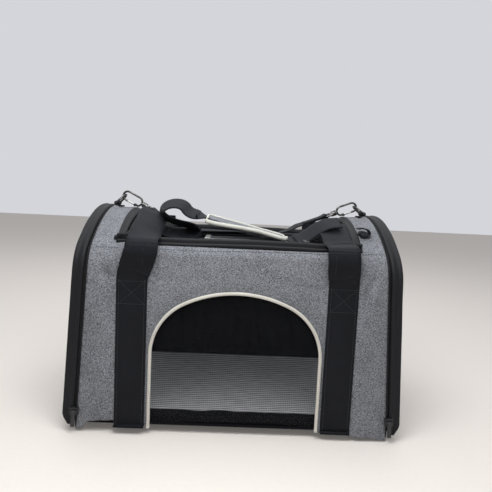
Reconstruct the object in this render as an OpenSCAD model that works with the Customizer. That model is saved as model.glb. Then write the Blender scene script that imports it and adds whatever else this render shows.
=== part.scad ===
// Soft-sided pet carrier bag with arched zipped ends, a mesh roof hatch,
// two webbing handles with a grip wrap, and a clip-on shoulder strap.
// Frame: +X along the bag, the front faces -Y, +Z up, z = 0 is the surface it stands on.

/* [Body] */
// Length of the bag at its base, over the door panels
base_len = 434; // [380:1:520]
// Depth of the bag from front wall to back wall
body_depth = 272; // [256:1:288]
// Height of the arched ends at the crown
arch_h = 287; // [279:1:300]
// Height of the roof in the middle of the bag
roof_h = 252; // [246:1:262]
// Lean of each end towards the middle, degrees
end_lean = 3.2; // [0:0.1:5]
// Radius of the arch's upper corners at the ends
corner_r = 46; // [36:1:56]
// Radius of the arch's crown at the ends
crown_r = 190; // [170:1:230]
// Radius of the wall-to-roof corner in the middle
brow_r = 12; // [9:1:16]
// Thickness of the padded fabric
panel_t = 3; // [2:0.5:4]

/* [Windows] */
// Width of the front and back window openings
win_w = 212; // [180:1:216]
// Height of the top of the window opening
win_top = 186; // [170:1:196]
// Height of the bottom of the window opening
win_z = 16; // [14:1:22]
// Radius of the window opening's upper corners
win_corner_r = 72; // [50:1:90]
// Radius of the window opening's crown
win_crown_r = 150; // [130:1:240]
// Distance from the end door's edge to its window
door_win_margin = 46; // [40:1:60]
// Diameter of the cream piping
piping_d = 5; // [4:0.5:6]
// Thickness of the mesh cloth
mesh_t = 1; // [0.6:0.2:1.6]

/* [Base] */
// Height of the base over the surface, between the end frames it hangs from
base_lift = 9; // [7:1:10]
// Thickness of the stiff base board
board_t = 3; // [2:0.5:5]
// Thickness of the fleece pad
pad_t = 7; // [5:1:14]
// Gap from the pad's edge to the walls
pad_gap = 7; // [4:1:12]

/* [Webbing] */
// Width of the handle webbing
web_w = 38; // [32:1:40]
// Thickness of the webbing
web_t = 1.8; // [1.4:0.1:2.2]
// Distance of each webbing band from the middle
web_x = 133; // [131:1:138]
// Width of the shoulder strap
strap_w = 25; // [20:1:26]
// Thickness of the shoulder strap
strap_t = 1.6; // [1.2:0.1:1.8]

/* [End zips] */
// Width of the fixed zip tape at each end
tape_w = 11.8; // [10:0.2:14]
// Width of the door's rim
rim_w = 12.1; // [10:0.1:14]
// Width of the zip coil
coil_w = 1.8; // [1.4:0.1:2]
// Thickness of the zip tapes
tape_t = 2.2; // [1.6:0.1:2.4]

/* [Roof hatch] */
// Length of the roof hatch
hatch_len = 296; // [280:1:300]
// Width of the hatch's bound edge
binding_w = 12; // [8:1:16]
// Sag of the mesh in the middle of the hatch
hatch_sag = 6; // [2:1:10]

/* [Hardware] */
// Wire diameter of the strap rings
ring_wire = 3.2; // [2.6:0.2:3.4]
// Outer width of the strap rings, between wire centres
ring_w = 26; // [26:1:30]
// Reach of the strap rings from their bar
ring_reach = 17; // [15:1:20]
// Wire diameter of the snap hooks
hook_wire = 3; // [2.6:0.1:3.2]
// Length of the snap hook's bow, between wire centres
hook_len = 30; // [28:1:34]
// Width of the snap hook's bow, between wire centres
hook_w = 13; // [12:1:15]

/* [Hidden] */

grey = [0.42, 0.43, 0.45];
black = [0.08, 0.08, 0.10];
cream = [0.90, 0.88, 0.78];
fleece = [0.72, 0.72, 0.74];
metal = [0.35, 0.34, 0.34];
$fn = 48;

gap = 0.3;                          // running gap between pieces on different bodies
half_y = body_depth / 2;
end_x = base_len / 2;
foot_r = 14;                        // radius of the end arch's lower corners
band_w = tape_w + coil_w + gap + rim_w;
floor_gap = 1;                      // lowest point of the arch, in the leaning end's own frame
base_z = base_lift + web_t;         // the base panel lies on the webbing bands
board_z = base_z + panel_t;
pad_z = board_z + board_t;

function mix(a, b, t) = a + (b - a) * t;
function smooth(t) = let(u = max(0, min(1, t))) u * u * (3 - 2 * u);
function arc(cy, cz, r, a0, a1, n) =
    [for (i = [0:n]) let(a = a0 + (a1 - a0) * i / n) [cy + r * cos(a), cz + r * sin(a)]];

// ---- The end arch, a flat outline in (y, z) ----

arch_cz = arch_h - crown_r;         // centre of the crown
corner_y = half_y - corner_r;       // centre of an upper corner
corner_z = arch_cz + sqrt(pow(crown_r - corner_r, 2) - pow(corner_y, 2));
corner_a = atan2(corner_z - arch_cz, corner_y);
shoulder_z = corner_z - 3.4;        // height at which the upright walls meet the roof

function arch_pts(inset) = concat(
    arc(half_y - foot_r, floor_gap + foot_r, foot_r - inset, -90, 0, 4),
    arc(corner_y, corner_z, corner_r - inset, 0, corner_a, 6),
    arc(0, arch_cz, crown_r - inset, corner_a, 180 - corner_a, 12),
    arc(-corner_y, corner_z, corner_r - inset, 180 - corner_a, 180, 6),
    arc(-half_y + foot_r, floor_gap + foot_r, foot_r - inset, 180, 270, 4));

module slab_x(x0, x1) {
    translate([x0, 0, 0]) rotate([90, 0, 90]) linear_extrude(x1 - x0) children();
}

// A band round the arch, from x0 to x1, open at the bottom between its two feet
foot_y = 108;                       // half the gap between the feet
module arch_band(x0, x1, inset0, inset1, bottom, open = foot_y) {
    slab_x(x0, x1) difference() {
        polygon(arch_pts(inset0));
        polygon(arch_pts(inset1));
        translate([-half_y - 10, -10]) square([body_depth + 20, bottom + 10]);
        translate([-open, -10]) square([2 * open, 30]);
    }
}

// Right end as drawn, left end mirrored; local x = 0 is the door's outer face
module at_end(side) {
    mirror([side < 0 ? 1 : 0, 0, 0])
        translate([end_x, 0, 0]) rotate([0, -end_lean, 0]) children();
}

function end_plane(x, z) = end_x + x / cos(end_lean) - z * tan(end_lean);

// ---- The roof, a surface that is arched at the ends and flat in the middle ----

arch_from = end_x - 45;             // |x| past which the roof has the full arch
flat_from = arch_from - 76;         // |x| inside which it is flat
brow_crown_r = 1200;                // crown radius in the middle

function flatness(x) = smooth((arch_from - abs(x)) / (arch_from - flat_from));
function sec_r(w) = mix(corner_r, brow_r, w);
function sec_crown(w) = 1 / mix(1 / crown_r, 1 / brow_crown_r, w);
function sec_top(w) = mix(arch_h, roof_h, w);
function sec_cz(w) = sec_top(w) - sec_crown(w);
function sec_ky(w) = half_y - sec_r(w);
function sec_kz(w) = sec_cz(w) + sqrt(pow(sec_crown(w) - sec_r(w), 2) - pow(sec_ky(w), 2));
function sec_ka(w) = atan2(sec_kz(w) - sec_cz(w), sec_ky(w));
function roof_z(x, y, drop = 0) =
    let(w = flatness(x)) sec_cz(w) + sqrt(pow(sec_crown(w) - drop, 2) - y * y);

// The hatch reaches just short of the crown's inner tangent points at the ends
hatch_y = (crown_r - panel_t) * corner_y / (crown_r - corner_r) - 1.9;
hatch_x = hatch_len / 2;
tape_x = hatch_x + 9;               // outer edge of the hatch's zip tape
crown_n = 10;                       // rows of cells across the crown
corner_n = 5;                       // rows of cells round each corner
crown_ys = [for (i = [0:crown_n]) mix(-hatch_y, hatch_y, i / crown_n)];

// One cross-section from the front shoulder to the back one, inset from the outside
function section(w, inset) =
    let(r = sec_r(w) - inset, ky = sec_ky(w), kz = sec_kz(w), ka = sec_ka(w),
        R = sec_crown(w) - inset, cz = sec_cz(w),
        front = [for (i = [0:corner_n]) let(a = 180 - ka * i / corner_n)
            [-ky + r * cos(a), kz + r * sin(a)]],
        crown = [for (y = crown_ys) [y, cz + sqrt(R * R - y * y)]],
        back = [for (i = [corner_n:-1:0]) [-front[i][0], front[i][1]]])
    concat([[-half_y + inset, shoulder_z]], front, crown, back, [[half_y - inset, shoulder_z]]);

// Stations along the roof; the outermost, marked by far_x, lie in the leaning end planes
far_x = 1000;
half_xs = [20, 60, flat_from, mix(flat_from, hatch_x, 14 / 52), mix(flat_from, hatch_x, 32 / 52),
    hatch_x, tape_x, (tape_x + arch_from + 4) / 2, far_x];
roof_xs = concat([for (i = [len(half_xs) - 1:-1:0]) -half_xs[i]], half_xs);
function roof_x(x, z) = abs(x) == far_x ? sign(x) * end_plane(-band_w, z) : x;
function roof_pts(inset) = [for (x = roof_xs)
    let(w = flatness(x)) [for (p = section(w, inset)) [roof_x(x, p[1]), p[0], p[1]]]];

// A shell between two grids of points, over the cells for which keep[i][j] is true
module grid_shell(top, low, keep) {
    ni = len(top);
    nj = len(top[0]);
    pts = concat([for (r = top) each r], [for (r = low) each r]);
    function at(i, j) = i * nj + j;
    function under(i, j) = ni * nj + i * nj + j;
    function kept(i, j) = i >= 0 && j >= 0 && i < ni - 1 && j < nj - 1 && keep[i][j];
    faces = [for (i = [0:ni - 2]) for (j = [0:nj - 2]) if (kept(i, j)) each concat(
        [[at(i, j), at(i, j + 1), at(i + 1, j + 1)], [at(i, j), at(i + 1, j + 1), at(i + 1, j)]],
        [[under(i, j), under(i + 1, j + 1), under(i, j + 1)],
         [under(i, j), under(i + 1, j), under(i + 1, j + 1)]],
        kept(i - 1, j) ? [] : [[at(i, j), under(i, j), under(i, j + 1)],
                               [at(i, j), under(i, j + 1), at(i, j + 1)]],
        kept(i + 1, j) ? [] : [[at(i + 1, j), at(i + 1, j + 1), under(i + 1, j + 1)],
                               [at(i + 1, j), under(i + 1, j + 1), under(i + 1, j)]],
        kept(i, j - 1) ? [] : [[at(i, j), at(i + 1, j), under(i + 1, j)],
                               [at(i, j), under(i + 1, j), under(i, j)]],
        kept(i, j + 1) ? [] : [[at(i, j + 1), under(i, j + 1), under(i + 1, j + 1)],
                               [at(i, j + 1), under(i + 1, j + 1), at(i + 1, j + 1)]])];
    polyhedron(pts, faces, convexity = 6);
}

// ---- Flat ribbons of webbing, drawn by their centre line ----

function unit2(v) = v / norm(v);
function square_to(v) = [-v[1], v[0]];
// The points of p moved sideways by d, with mitred corners
function side_pts(p, d) = [for (i = [0:len(p) - 1])
    let(a = unit2(p[max(i, 1)] - p[max(i, 1) - 1]),
        b = unit2(p[min(i, len(p) - 2) + 1] - p[min(i, len(p) - 2)]),
        n = unit2(square_to(a + b)))
    p[i] + d / (n * square_to(a)) * n];
function reversed(p) = [for (i = [len(p) - 1:-1:0]) p[i]];
module ribbon(p, t) {
    polygon(concat(side_pts(p, t / 2), reversed(side_pts(p, -t / 2))));
}

// Extruded along Y from y0, with points in (x, z)
module slab_y(y0, y1) {
    translate([0, y1, 0]) rotate([90, 0, 0]) linear_extrude(y1 - y0) children();
}

module bar_y(x, z, r, half) {
    translate([x, -half, z]) rotate([-90, 0, 0]) cylinder(r = r, h = 2 * half);
}

module bar_x(y, z, r, x0, x1) {
    translate([x0, y, z]) rotate([0, 90, 0]) cylinder(r = r, h = x1 - x0);
}

// ---- Base, board and pad ----

base_x = end_plane(-band_w, board_z);
sill_x = end_plane(-panel_t - 2 * gap, board_z);    // the base reaches the doors between their feet
module base_panel() {
    color(black) translate([0, 0, base_z]) linear_extrude(panel_t) {
        square([2 * base_x, body_depth - 2 * panel_t], center = true);
        square([2 * sill_x, 2 * foot_y - 4], center = true);
    }
}

module rounded_slab(len, depth, r, h) {
    linear_extrude(h) {
        square([len, depth - 2 * r], center = true);
        square([len - 2 * r, depth], center = true);
        for (sx = [-1, 1], sy = [-1, 1])
            translate([sx * (len / 2 - r), sy * (depth / 2 - r)]) circle(r);
    }
}

module base_board() {
    color(black) translate([0, 0, board_z])
        rounded_slab(2 * (base_x - pad_gap), body_depth - 2 * (panel_t + pad_gap), 12, board_t);
}

module fleece_pad() {
    color(fleece) translate([0, 0, pad_z])
        rounded_slab(2 * (base_x - pad_gap), body_depth - 2 * (panel_t + pad_gap), 16, pad_t);
}

// ---- Front and back walls with their mesh windows ----

// A window opening is a wide arch: a flat crown between two round corners
win_kx = win_w / 2 - win_corner_r;      // centre of a corner
win_kz = win_top - win_crown_r
    + sqrt(pow(win_crown_r - win_corner_r, 2) - pow(win_kx, 2));
win_ka = atan2(win_kz - win_top + win_crown_r, win_kx);

module wall_side(side) {
    mirror([0, side > 0 ? 1 : 0, 0]) children();
}

// The opening, moved outwards by grow all round
function window_pts(grow) = let(low = max(win_z - grow, board_z), half = win_w / 2 + grow) concat(
    [[-half, low], [half, low]],
    arc(win_kx, win_kz, win_corner_r + grow, 0, win_ka, 10),
    arc(0, win_top - win_crown_r, win_crown_r + grow, win_ka, 180 - win_ka, 12),
    arc(-win_kx, win_kz, win_corner_r + grow, 180 - win_ka, 180, 10));

// Only the front wall has a window; no light shows through the back one
module wall_panel(side) {
    low_x = end_plane(-band_w, base_z);
    high_x = end_plane(-band_w, shoulder_z);
    color(grey) wall_side(side) slab_y(-half_y, -half_y + panel_t) difference() {
        polygon([[-low_x, base_z], [low_x, base_z],
            [high_x, shoulder_z], [-high_x, shoulder_z]]);
        if (side < 0) polygon(window_pts(0));
    }
}

module front_mesh() {
    color(black) slab_y(-half_y + panel_t, -half_y + panel_t + mesh_t)
        polygon(window_pts(6));
}

// Piping sewn round the opening, with both ends running down to the hem
module front_piping() {
    color(cream) slab_y(-half_y - piping_d, -half_y) difference() {
        polygon(window_pts(piping_d));
        polygon(window_pts(0));
        translate([-win_w / 2, 0]) square([win_w, win_kz]);
    }
}

// ---- Webbing bands, sewn on the walls, with the free stubs that carry the handles ----

sew_z = shoulder_z - 6;             // top of the sewn stretch
handle_out = 14;                    // how far both handles stand out from the walls
stub_y = half_y + web_t / 2;
peak_y = half_y + handle_out - web_t / 2;
front_stub = [[-stub_y, sew_z], [-stub_y - 3, sew_z + 12], [-stub_y - 8, sew_z + 23],
    [-peak_y, sew_z + 34], [-peak_y, sew_z + 40], [-peak_y + 1, sew_z + 45]];
front_axis = [-peak_y + 2.1, sew_z + 48];
front_bead_r = (front_axis - front_stub[5]) * unit2(front_stub[5] - front_stub[4]) - gap;
back_stub = [[stub_y, sew_z], [stub_y + 1.6, sew_z + 12], [stub_y + 3.4, sew_z + 26],
    [stub_y + 4.6, sew_z + 40], [stub_y + 5.2, sew_z + 54], [stub_y + 6.4, sew_z + 62],
    [peak_y - 4.2, sew_z + 65]];
back_axis = [peak_y - 3.1, sew_z + 66.5];
stub_bead_r = 1.5;

module webbing(side) {
    low = base_lift + web_t / 2;
    path = concat(reversed(front_stub), [[-stub_y, low], [stub_y, low]], back_stub);
    color(black) translate([side * web_x, 0, 0]) slab_x(-web_w / 2, web_w / 2)
        ribbon(path, web_t);
}

// ---- Roof shell, hatch zip tape and hatch ----

roof_n = len(roof_xs);
row_n = len(section(0, 0));
hatch_rows = [corner_n + 2, corner_n + 1 + crown_n];    // first and last rows of cells in the hatch
function in_hatch(i, j) = let(x = (roof_xs[i] + roof_xs[i + 1]) / 2)
    abs(x) < hatch_x && j >= hatch_rows[0] && j <= hatch_rows[1];
function in_zip(i, j) = let(x = (roof_xs[i] + roof_xs[i + 1]) / 2)
    (abs(x) < tape_x && j >= hatch_rows[0] - 2 && j < hatch_rows[0])
    || (abs(x) > hatch_x && abs(x) < tape_x && j >= hatch_rows[0] && j <= hatch_rows[1]);
roof_tape_t = 1.6;

module roof_shell() {
    color(grey) grid_shell(roof_pts(0), roof_pts(panel_t),
        [for (i = [0:roof_n - 2]) [for (j = [0:row_n - 2]) !in_hatch(i, j)]]);
}

module roof_zip_tape() {
    color(black) grid_shell(roof_pts(-roof_tape_t), roof_pts(0),
        [for (i = [0:roof_n - 2]) [for (j = [0:row_n - 2]) in_zip(i, j)]]);
}

flap_gap = 1.5;                     // gap round the hatch
flap_x = hatch_x - flap_gap;
flap_front = -hatch_y + flap_gap;
flap_hinge = [hatch_y - 2, roof_z(0, hatch_y) - 1];     // axis (y, z) of the hatch's hinge
flap_hinge_r = 1.8;
flap_back = flap_hinge[0] - flap_hinge_r - 0.6;
flap_xs = concat([-flap_x, -flap_x + binding_w], [for (x = [-112:28:112]) x],
    [flap_x - binding_w, flap_x]);
flap_inner = [flap_front + binding_w, flap_back - binding_w];
flap_ys = concat([flap_front], [for (i = [0:8]) mix(flap_inner[0], flap_inner[1], i / 8)],
    [flap_back]);
function flap_z(x, y) = roof_z(x, y)
    - hatch_sag * (1 - pow(x / hatch_x, 2)) * (1 - pow(y / hatch_y, 2));
function flap_pts(drop) = [for (x = flap_xs) [for (y = flap_ys) [x, y, flap_z(x, y) - drop]]];
function flap_edge(i, j) = i == 0 || j == 0 || i == len(flap_xs) - 2 || j == len(flap_ys) - 2;

module roof_flap_binding() {
    color(black) grid_shell(flap_pts(0), flap_pts(2.4),
        [for (i = [0:len(flap_xs) - 2]) [for (j = [0:len(flap_ys) - 2]) flap_edge(i, j)]]);
}

module roof_flap_mesh() {
    color(black) grid_shell(flap_pts(0.6), flap_pts(0.6 + mesh_t),
        [for (i = [0:len(flap_xs) - 2]) [for (j = [0:len(flap_ys) - 2]) !flap_edge(i, j)]]);
}

module roof_flap_hinge() {
    color(black) bar_x(flap_hinge[0], flap_hinge[1], flap_hinge_r, -hatch_x + 8, hatch_x - 8);
}

// ---- End frames: fixed tape, coil, hoop and ring tab ----

coil_x = -band_w + tape_w;
rim_x = -rim_w;
feet_z = 12;

// The bag stands on the four feet of its end tapes, cut level at z = 0
module end_tape(side) {
    color(black) difference() {
        at_end(side) arch_band(-band_w, coil_x, 0, tape_t, floor_gap);
        translate([-base_len, -body_depth, -20]) cube([2 * base_len, 2 * body_depth, 20]);
    }
}

module zip_coil(side) {
    color(black) at_end(side) arch_band(coil_x, coil_x + coil_w, -0.6, tape_t - 0.6, feet_z);
}

hoop_d = 3;
module hoop(side) {
    color(metal) at_end(side)
        arch_band(-band_w + 2, -band_w + 2 + hoop_d, tape_t, tape_t + hoop_d, feet_z);
}

ring_x = -17.5;                     // the ring's bar, in the end's own frame
tab_t = 1.6;
tab_bore = ring_wire / 2 + gap;
tab_half = ring_w / 2 - ring_wire / 2 - 0.6;
ring_z = arch_h + tab_t + tab_bore + tab_t - 0.4;
module ring_tab(side) {
    color(black) at_end(side) difference() {
        union() {
            translate([-band_w + 0.5, -tab_half, arch_h]) cube([tape_w - 1, 2 * tab_half, tab_t]);
            bar_y(ring_x, ring_z, tab_bore + tab_t - 0.2, tab_half);
        }
        bar_y(ring_x, ring_z, tab_bore, tab_half + 1);
    }
}

// ---- End doors ----

door_z = 8.3;                       // lower edge of the door
door_axis = [-2, 6];                // hinge axis (x, z) in the end's own frame
door_bead_r = 2;
door_win_z = 40;

module door_shape(inset) {
    difference() {
        polygon(arch_pts(inset));
        translate([-half_y - 1, -1]) square([body_depth + 2, door_z + 1]);
    }
}

// The door's window: the arch's own crown and corners, moved in by its margin
function door_window_pts(grow) =
    let(m = door_win_margin - grow, r = 22 + grow, y = half_y - m - r, low = door_win_z - grow,
        cr = crown_r - 60, crown = arch_h - m - cr,
        kz = crown + sqrt(pow(cr - r, 2) - y * y), ka = atan2(kz - crown, y))
    concat(arc(y, low + r, r, -90, 0, 4), arc(y, kz, r, 0, ka, 5),
        arc(0, crown, cr, ka, 180 - ka, 8), arc(-y, kz, r, 180 - ka, 180, 5),
        arc(-y, low + r, r, 180, 270, 4));

module door_panel(side) {
    color(grey) at_end(side) slab_x(-panel_t, 0) difference() {
        door_shape(0);
        polygon(door_window_pts(0));
    }
}

module door_rim(side) {
    color(black) at_end(side) arch_band(rim_x, -panel_t, 0, tape_t, door_z);
}

bind_t = 2.2;
module door_binding(side) {
    color(black) at_end(side) arch_band(0, bind_t, -0.8, 4, door_z, foot_y - 2);
}

module door_mesh(side) {
    color(black) at_end(side) slab_x(-panel_t - mesh_t, -panel_t) polygon(door_window_pts(6));
}

module door_piping(side) {
    color(cream) at_end(side) slab_x(0, piping_d * 0.6) difference() {
        polygon(door_window_pts(piping_d * 0.8));
        polygon(door_window_pts(0));
    }
}

module door_hinge(side) {
    color(black) at_end(side) bar_y(door_axis[0], door_axis[1], door_bead_r, foot_y - 4);
}

// ---- Rings, snap hooks and shoulder strap ----

clip_tail = 36;                     // doubled strap end past the eye
bow_u = hook_len / 2 - (ring_wire + hook_wire) / 2 - gap;
bow_r = hook_w / 2;
bow_half = (hook_len - hook_w) / 2;
post_u = bow_u + hook_len / 2;
eye_u = post_u + 18.5;              // far bar of the eye
eye_half = strap_w / 2 + hook_wire / 2 + gap;
ring_up = [50, 42];                 // tilt of the left and right rings, degrees
strap_down = [24, 18];              // slope of the left and right strap ends, degrees
function idx(side) = side < 0 ? 0 : 1;
function ring_far(side) = let(a = ring_up[idx(side)])
    [ring_x - ring_reach * cos(a), ring_z + ring_reach * sin(a)];

// The hook's own frame: origin at the ring's far wire, +X down the strap, +Z below it
module at_clip(side) {
    p = ring_far(side);
    at_end(side) translate([p[0], 0, p[1]]) rotate([0, 180 - strap_down[idx(side)], 0])
        children();
}

function clip_point(side, u) =
    let(p = ring_far(side), d = strap_down[idx(side)],
        x = p[0] - u * cos(d), z = p[1] - u * sin(d))
    [side * (end_x + x * cos(end_lean) - z * sin(end_lean)),
        x * sin(end_lean) + z * cos(end_lean)];

module ring(side) {
    r = ring_wire / 2;
    half = ring_w / 2;
    color(metal) at_end(side) translate([ring_x, 0, ring_z])
        rotate([0, ring_up[idx(side)] - 180, 0]) {
        bar_y(0, 0, r, half);
        for (s = [-1, 1]) translate([0, s * half, 0]) {
            sphere(r);
            rod_x(0, ring_reach - half, 0, r);
        }
        translate([ring_reach - half, 0, 0]) rotate([0, 0, -90])
            rotate_extrude(angle = 180) translate([half, 0]) circle(r);
    }
}

module bow_arc(u, from, to) {
    translate([u, 0, 0]) rotate([90, 0, 0]) rotate([0, 0, from]) rotate_extrude(angle = to - from)
        translate([bow_r, 0]) circle(hook_wire / 2);
}

module rod_x(u0, u1, v, r) {
    translate([u0, 0, v]) rotate([0, 90, 0]) cylinder(r = r, h = u1 - u0);
}

gate_u = bow_u + bow_half - 1;      // the gate's pin
cheek_a = 60;
gate_pin_r = 0.8;
module hook(side) {
    tip = [bow_u + bow_half + bow_r * cos(cheek_a), bow_r * sin(cheek_a)];
    run = tip - [gate_u, bow_r];
    color(metal) at_clip(side) {
        bow_arc(bow_u - bow_half, 90, 270);
        bow_arc(bow_u + bow_half, -90, cheek_a);
        mirror([0, 0, 1]) rod_x(bow_u - bow_half, bow_u + bow_half, bow_r, hook_wire / 2);
        rod_x(bow_u - bow_half, bow_u - bow_half + 3.5, bow_r, hook_wire / 2);
        bar_y(tip[0], tip[1], hook_wire / 2, 2.7);
        bar_y(gate_u, bow_r, gate_pin_r, 2.7);
        for (s = [-1, 1]) translate([gate_u, s * 2.2, bow_r]) rotate([90, 0, 0])
            translate([0, 0, -0.5]) {
            cylinder(r = 2.2, h = 1);
            rotate([0, 0, atan2(run[1], run[0])]) translate([0, -1.4, 0])
                cube([norm(run), 2.8, 1]);
        }
        rod_x(post_u - 1, post_u + 7, 0, 1.7);
        rod_x(post_u + 5.4, post_u + 7, 0, 2.7);
    }
}

module gate(side) {
    color(metal) at_clip(side) {
        difference() {
            bar_y(gate_u, bow_r, 1.8, 1.4);
            bar_y(gate_u, bow_r, gate_pin_r + 0.2, 2);
        }
        rod_x(bow_u - bow_half + 3.8, gate_u - 1.5, bow_r, 1.2);
    }
}

module eye(side) {
    color(metal) at_clip(side) {
        difference() {
            rod_x(post_u + 1.8, post_u + 9, 0, 4);
            rod_x(post_u + 1, post_u + 5.2, 0, 2);
            rod_x(post_u + 5.1, post_u + 7.5, 0, 3);
        }
        bar_y(post_u + 10, 0, hook_wire / 2, eye_half);
        bar_y(eye_u, 0, hook_wire / 2, eye_half);
        for (s = [-1, 1]) translate([0, s * eye_half, 0]) {
            rod_x(post_u + 10, eye_u, 0, hook_wire / 2);
            for (u = [post_u + 10, eye_u]) translate([u, 0, 0]) sphere(hook_wire / 2);
        }
    }
}

module strap_end(side) {
    bore = hook_wire / 2 + gap;
    color(black) at_clip(side) difference() {
        union() {
            bar_y(eye_u, 0, bore + strap_t, strap_w / 2);
            slab_y(-strap_w / 2, strap_w / 2)
                translate([eye_u + 1, -strap_t]) square([clip_tail - 1, 2 * strap_t]);
        }
        bar_y(eye_u, 0, bore, strap_w);
    }
}

layer_z = flap_z(0, 0) + 2.2;       // the strap's lowest layer on the hatch
layer_step = 3.4;
left_end = clip_point(-1, eye_u + clip_tail + gap);
left_run = clip_point(-1, eye_u + clip_tail + 12);
right_end = clip_point(1, eye_u + clip_tail + gap);
right_run = clip_point(1, eye_u + clip_tail + 10);
top_layer = layer_z + 2 * layer_step;
strap_path = concat([left_end, left_run], [[-70, layer_z + 2.5], [-58, layer_z]],
    arc(62, layer_z + layer_step / 2, layer_step / 2, -90, 90, 6),
    reversed(arc(-56, layer_z + layer_step * 1.5, layer_step / 2, 90, 270, 6)),
    [[50, top_layer], [62, top_layer + 2]], [right_run, right_end]);

module shoulder_strap() {
    color(black) slab_y(-strap_w / 2, strap_w / 2) ribbon(strap_path, strap_t);
}

adjuster_x = 20;
module strap_adjuster() {
    bar = 1.2;
    rail = strap_w / 2 + gap + 2.4;
    half = strap_t / 2 + gap;
    color(black) translate([adjuster_x, 0, top_layer]) {
        for (s = [-1, 1]) translate([-9, s > 0 ? rail - 2.4 : -rail, -half - bar])
            cube([18, 2.4, 2 * (half + bar)]);
        for (x = [-9, 6]) translate([x, -rail, half]) cube([3, 2 * rail, bar]);
        translate([-1.5, -rail, -half - bar]) cube([3, 2 * rail, bar]);
    }
}

// ---- Handles and grip wrap ----

grip_y = -61;                       // middle of the front handle's cross run
grip_left = [-50, 278.6];           // the run's left and right ends under the open grip wrap
grip_right = [66, 252];
front_leg = [front_axis, front_axis + [4, 4.5], [-133, 255.5], [-119, 259], [-106, 263],
    [-88, 269.5], [-66, 277], [-42, 282.4]];
cross_run = [[-152, 281.6], [-133, 270], [-114, 261.5], [-96, 257], [-78, 255.5], [-64, 256.5],
    [-59, 261], [-64, 267.5], [-80, 275], [-96, 282.5], [-105, 290.5], [-104, 299],
    [-95, 304.5], [-84, 303], [-77, 296], [-71, 287.5], [-62, 280.5], grip_left, grip_right,
    [78, 252.4], [90, 258], [102, 268], [112, 274], [122, 275.5], [135, 275], [152, 281.6]];
grip_run = grip_left - grip_right;
grip_a = atan2(grip_run[1], -grip_run[0]);
grip_mid = (grip_left + grip_right) / 2;
back_leg = [back_axis, back_axis + [2.3, -3.5], [peak_y, back_axis[1] - 10], [peak_y, 136]];
back_loop_z = [132, 170];

module front_handle() {
    color(black) {
        for (s = [-1, 1]) translate([s * web_x, 0, 0]) slab_x(-web_w / 2, web_w / 2) {
            ribbon(front_leg, web_t);
            translate(front_axis) circle(front_bead_r, $fn = 24);
        }
        slab_y(grip_y - web_w / 2, grip_y + web_w / 2) ribbon(cross_run, web_t);
    }
}

module back_handle() {
    reach = web_x + web_w / 2;
    y = back_leg[len(back_leg) - 1][0];
    color(black) {
        for (s = [-1, 1]) translate([s * web_x, 0, 0]) slab_x(-web_w / 2, web_w / 2) {
            ribbon(back_leg, web_t);
            translate(back_axis) circle(stub_bead_r, $fn = 24);
        }
        slab_y(y - web_t / 2, y + web_t / 2) translate([-reach, back_loop_z[0]])
            square([2 * reach, back_loop_z[1] - back_loop_z[0]]);
    }
}

grip_len = 112;
grip_half = 25;
leaf_t = 4;
leaf_axis = [-grip_half - 2.6, -1]; // hinge of the upper leaf (y, z) in the grip's own frame
leaf_rest = 7;                      // how far the upper leaf stands off at rest, degrees
leaf_low = grip_right[1] - web_t / 2 - leaf_t - gap;    // the lower leaf lies flat on the roof
module at_grip() {
    translate([grip_mid[0], grip_y, grip_mid[1]]) rotate([0, grip_a, 0]) children();
}

module leaf(y0, y1, z0) {
    translate([0, (y0 + y1) / 2, z0]) rounded_slab(grip_len, y1 - y0, 6, leaf_t);
}

module grip_pad() {
    color(grey) translate([grip_mid[0], grip_y, leaf_low]) leaf(-grip_half, grip_half, 0);
}

module grip_flap() {
    color(grey) at_grip() translate([0, leaf_axis[0], leaf_axis[1]]) rotate([leaf_rest, 0, 0]) {
        leaf(-0.5, 2 * grip_half + 2.6, web_t / 2 + gap);
        bar_x(0, 0, 2.2, -grip_len / 2 + 6, grip_len / 2 - 6);
    }
}

// ---- Zip sliders and their pulls ----

roof_slider_x = 85;
slider_l = 10;
slider_t = 4.5;
roof_tape_top = roof_z(0, hatch_y) + roof_tape_t + gap;
pull_eye_r = 1.5;
pull_bore_r = 0.8;
pull_pin_r = 0.6;
pull_half = 2.4;                    // half the width of a pull's eye
pull_out = pull_eye_r + gap;        // from the slider's face to the pull's axis
cheek_in = pull_half + 0.5;         // the cheeks' inner faces, from the slider's middle
cheek_t = 1.2;
roof_pull_axis = [-hatch_y + 2, roof_tape_top + slider_t + pull_out];

// Two cheeks with a pin through them, standing on a face at z = 0
module pull_cheeks() {
    for (s = [-1, 1])
        translate([s * (cheek_in + cheek_t / 2) - cheek_t / 2, -1.6, -1])
            cube([cheek_t, 3.2, pull_out + 2.6]);
    bar_x(0, pull_out, pull_pin_r, -cheek_in - 0.6, cheek_in + 0.6);
}

module roof_slider() {
    color(metal) {
        translate([roof_slider_x - slider_l / 2, -hatch_y - 8, roof_tape_top])
            cube([slider_l, 12, slider_t]);
        translate([roof_slider_x, roof_pull_axis[0], roof_tape_top + slider_t]) pull_cheeks();
    }
}

module pull_tab(len) {
    difference() {
        union() {
            bar_x(0, 0, pull_eye_r, -pull_half, pull_half);
            translate([-pull_half, 0, -0.8]) cube([2 * pull_half, len, 1.6]);
        }
        bar_x(0, 0, pull_bore_r, -2 * pull_half, 2 * pull_half);
    }
}

module roof_pull() {
    color(black) translate([roof_slider_x, roof_pull_axis[0], roof_pull_axis[1]])
        pull_tab(22);
}

end_slider_z = 24;
end_slider_y = -half_y - 0.6 - gap;
end_pull_axis = [end_slider_y - slider_t - pull_out, end_slider_z + 6];
module end_slider(side) {
    x = coil_x + coil_w / 2;
    color(metal) at_end(side) {
        translate([x - slider_l / 2, end_slider_y - slider_t, end_slider_z])
            cube([slider_l, slider_t, slider_l]);
        translate([x, end_slider_y - slider_t, end_pull_axis[1]]) rotate([90, 0, 0])
            pull_cheeks();
    }
}

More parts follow.
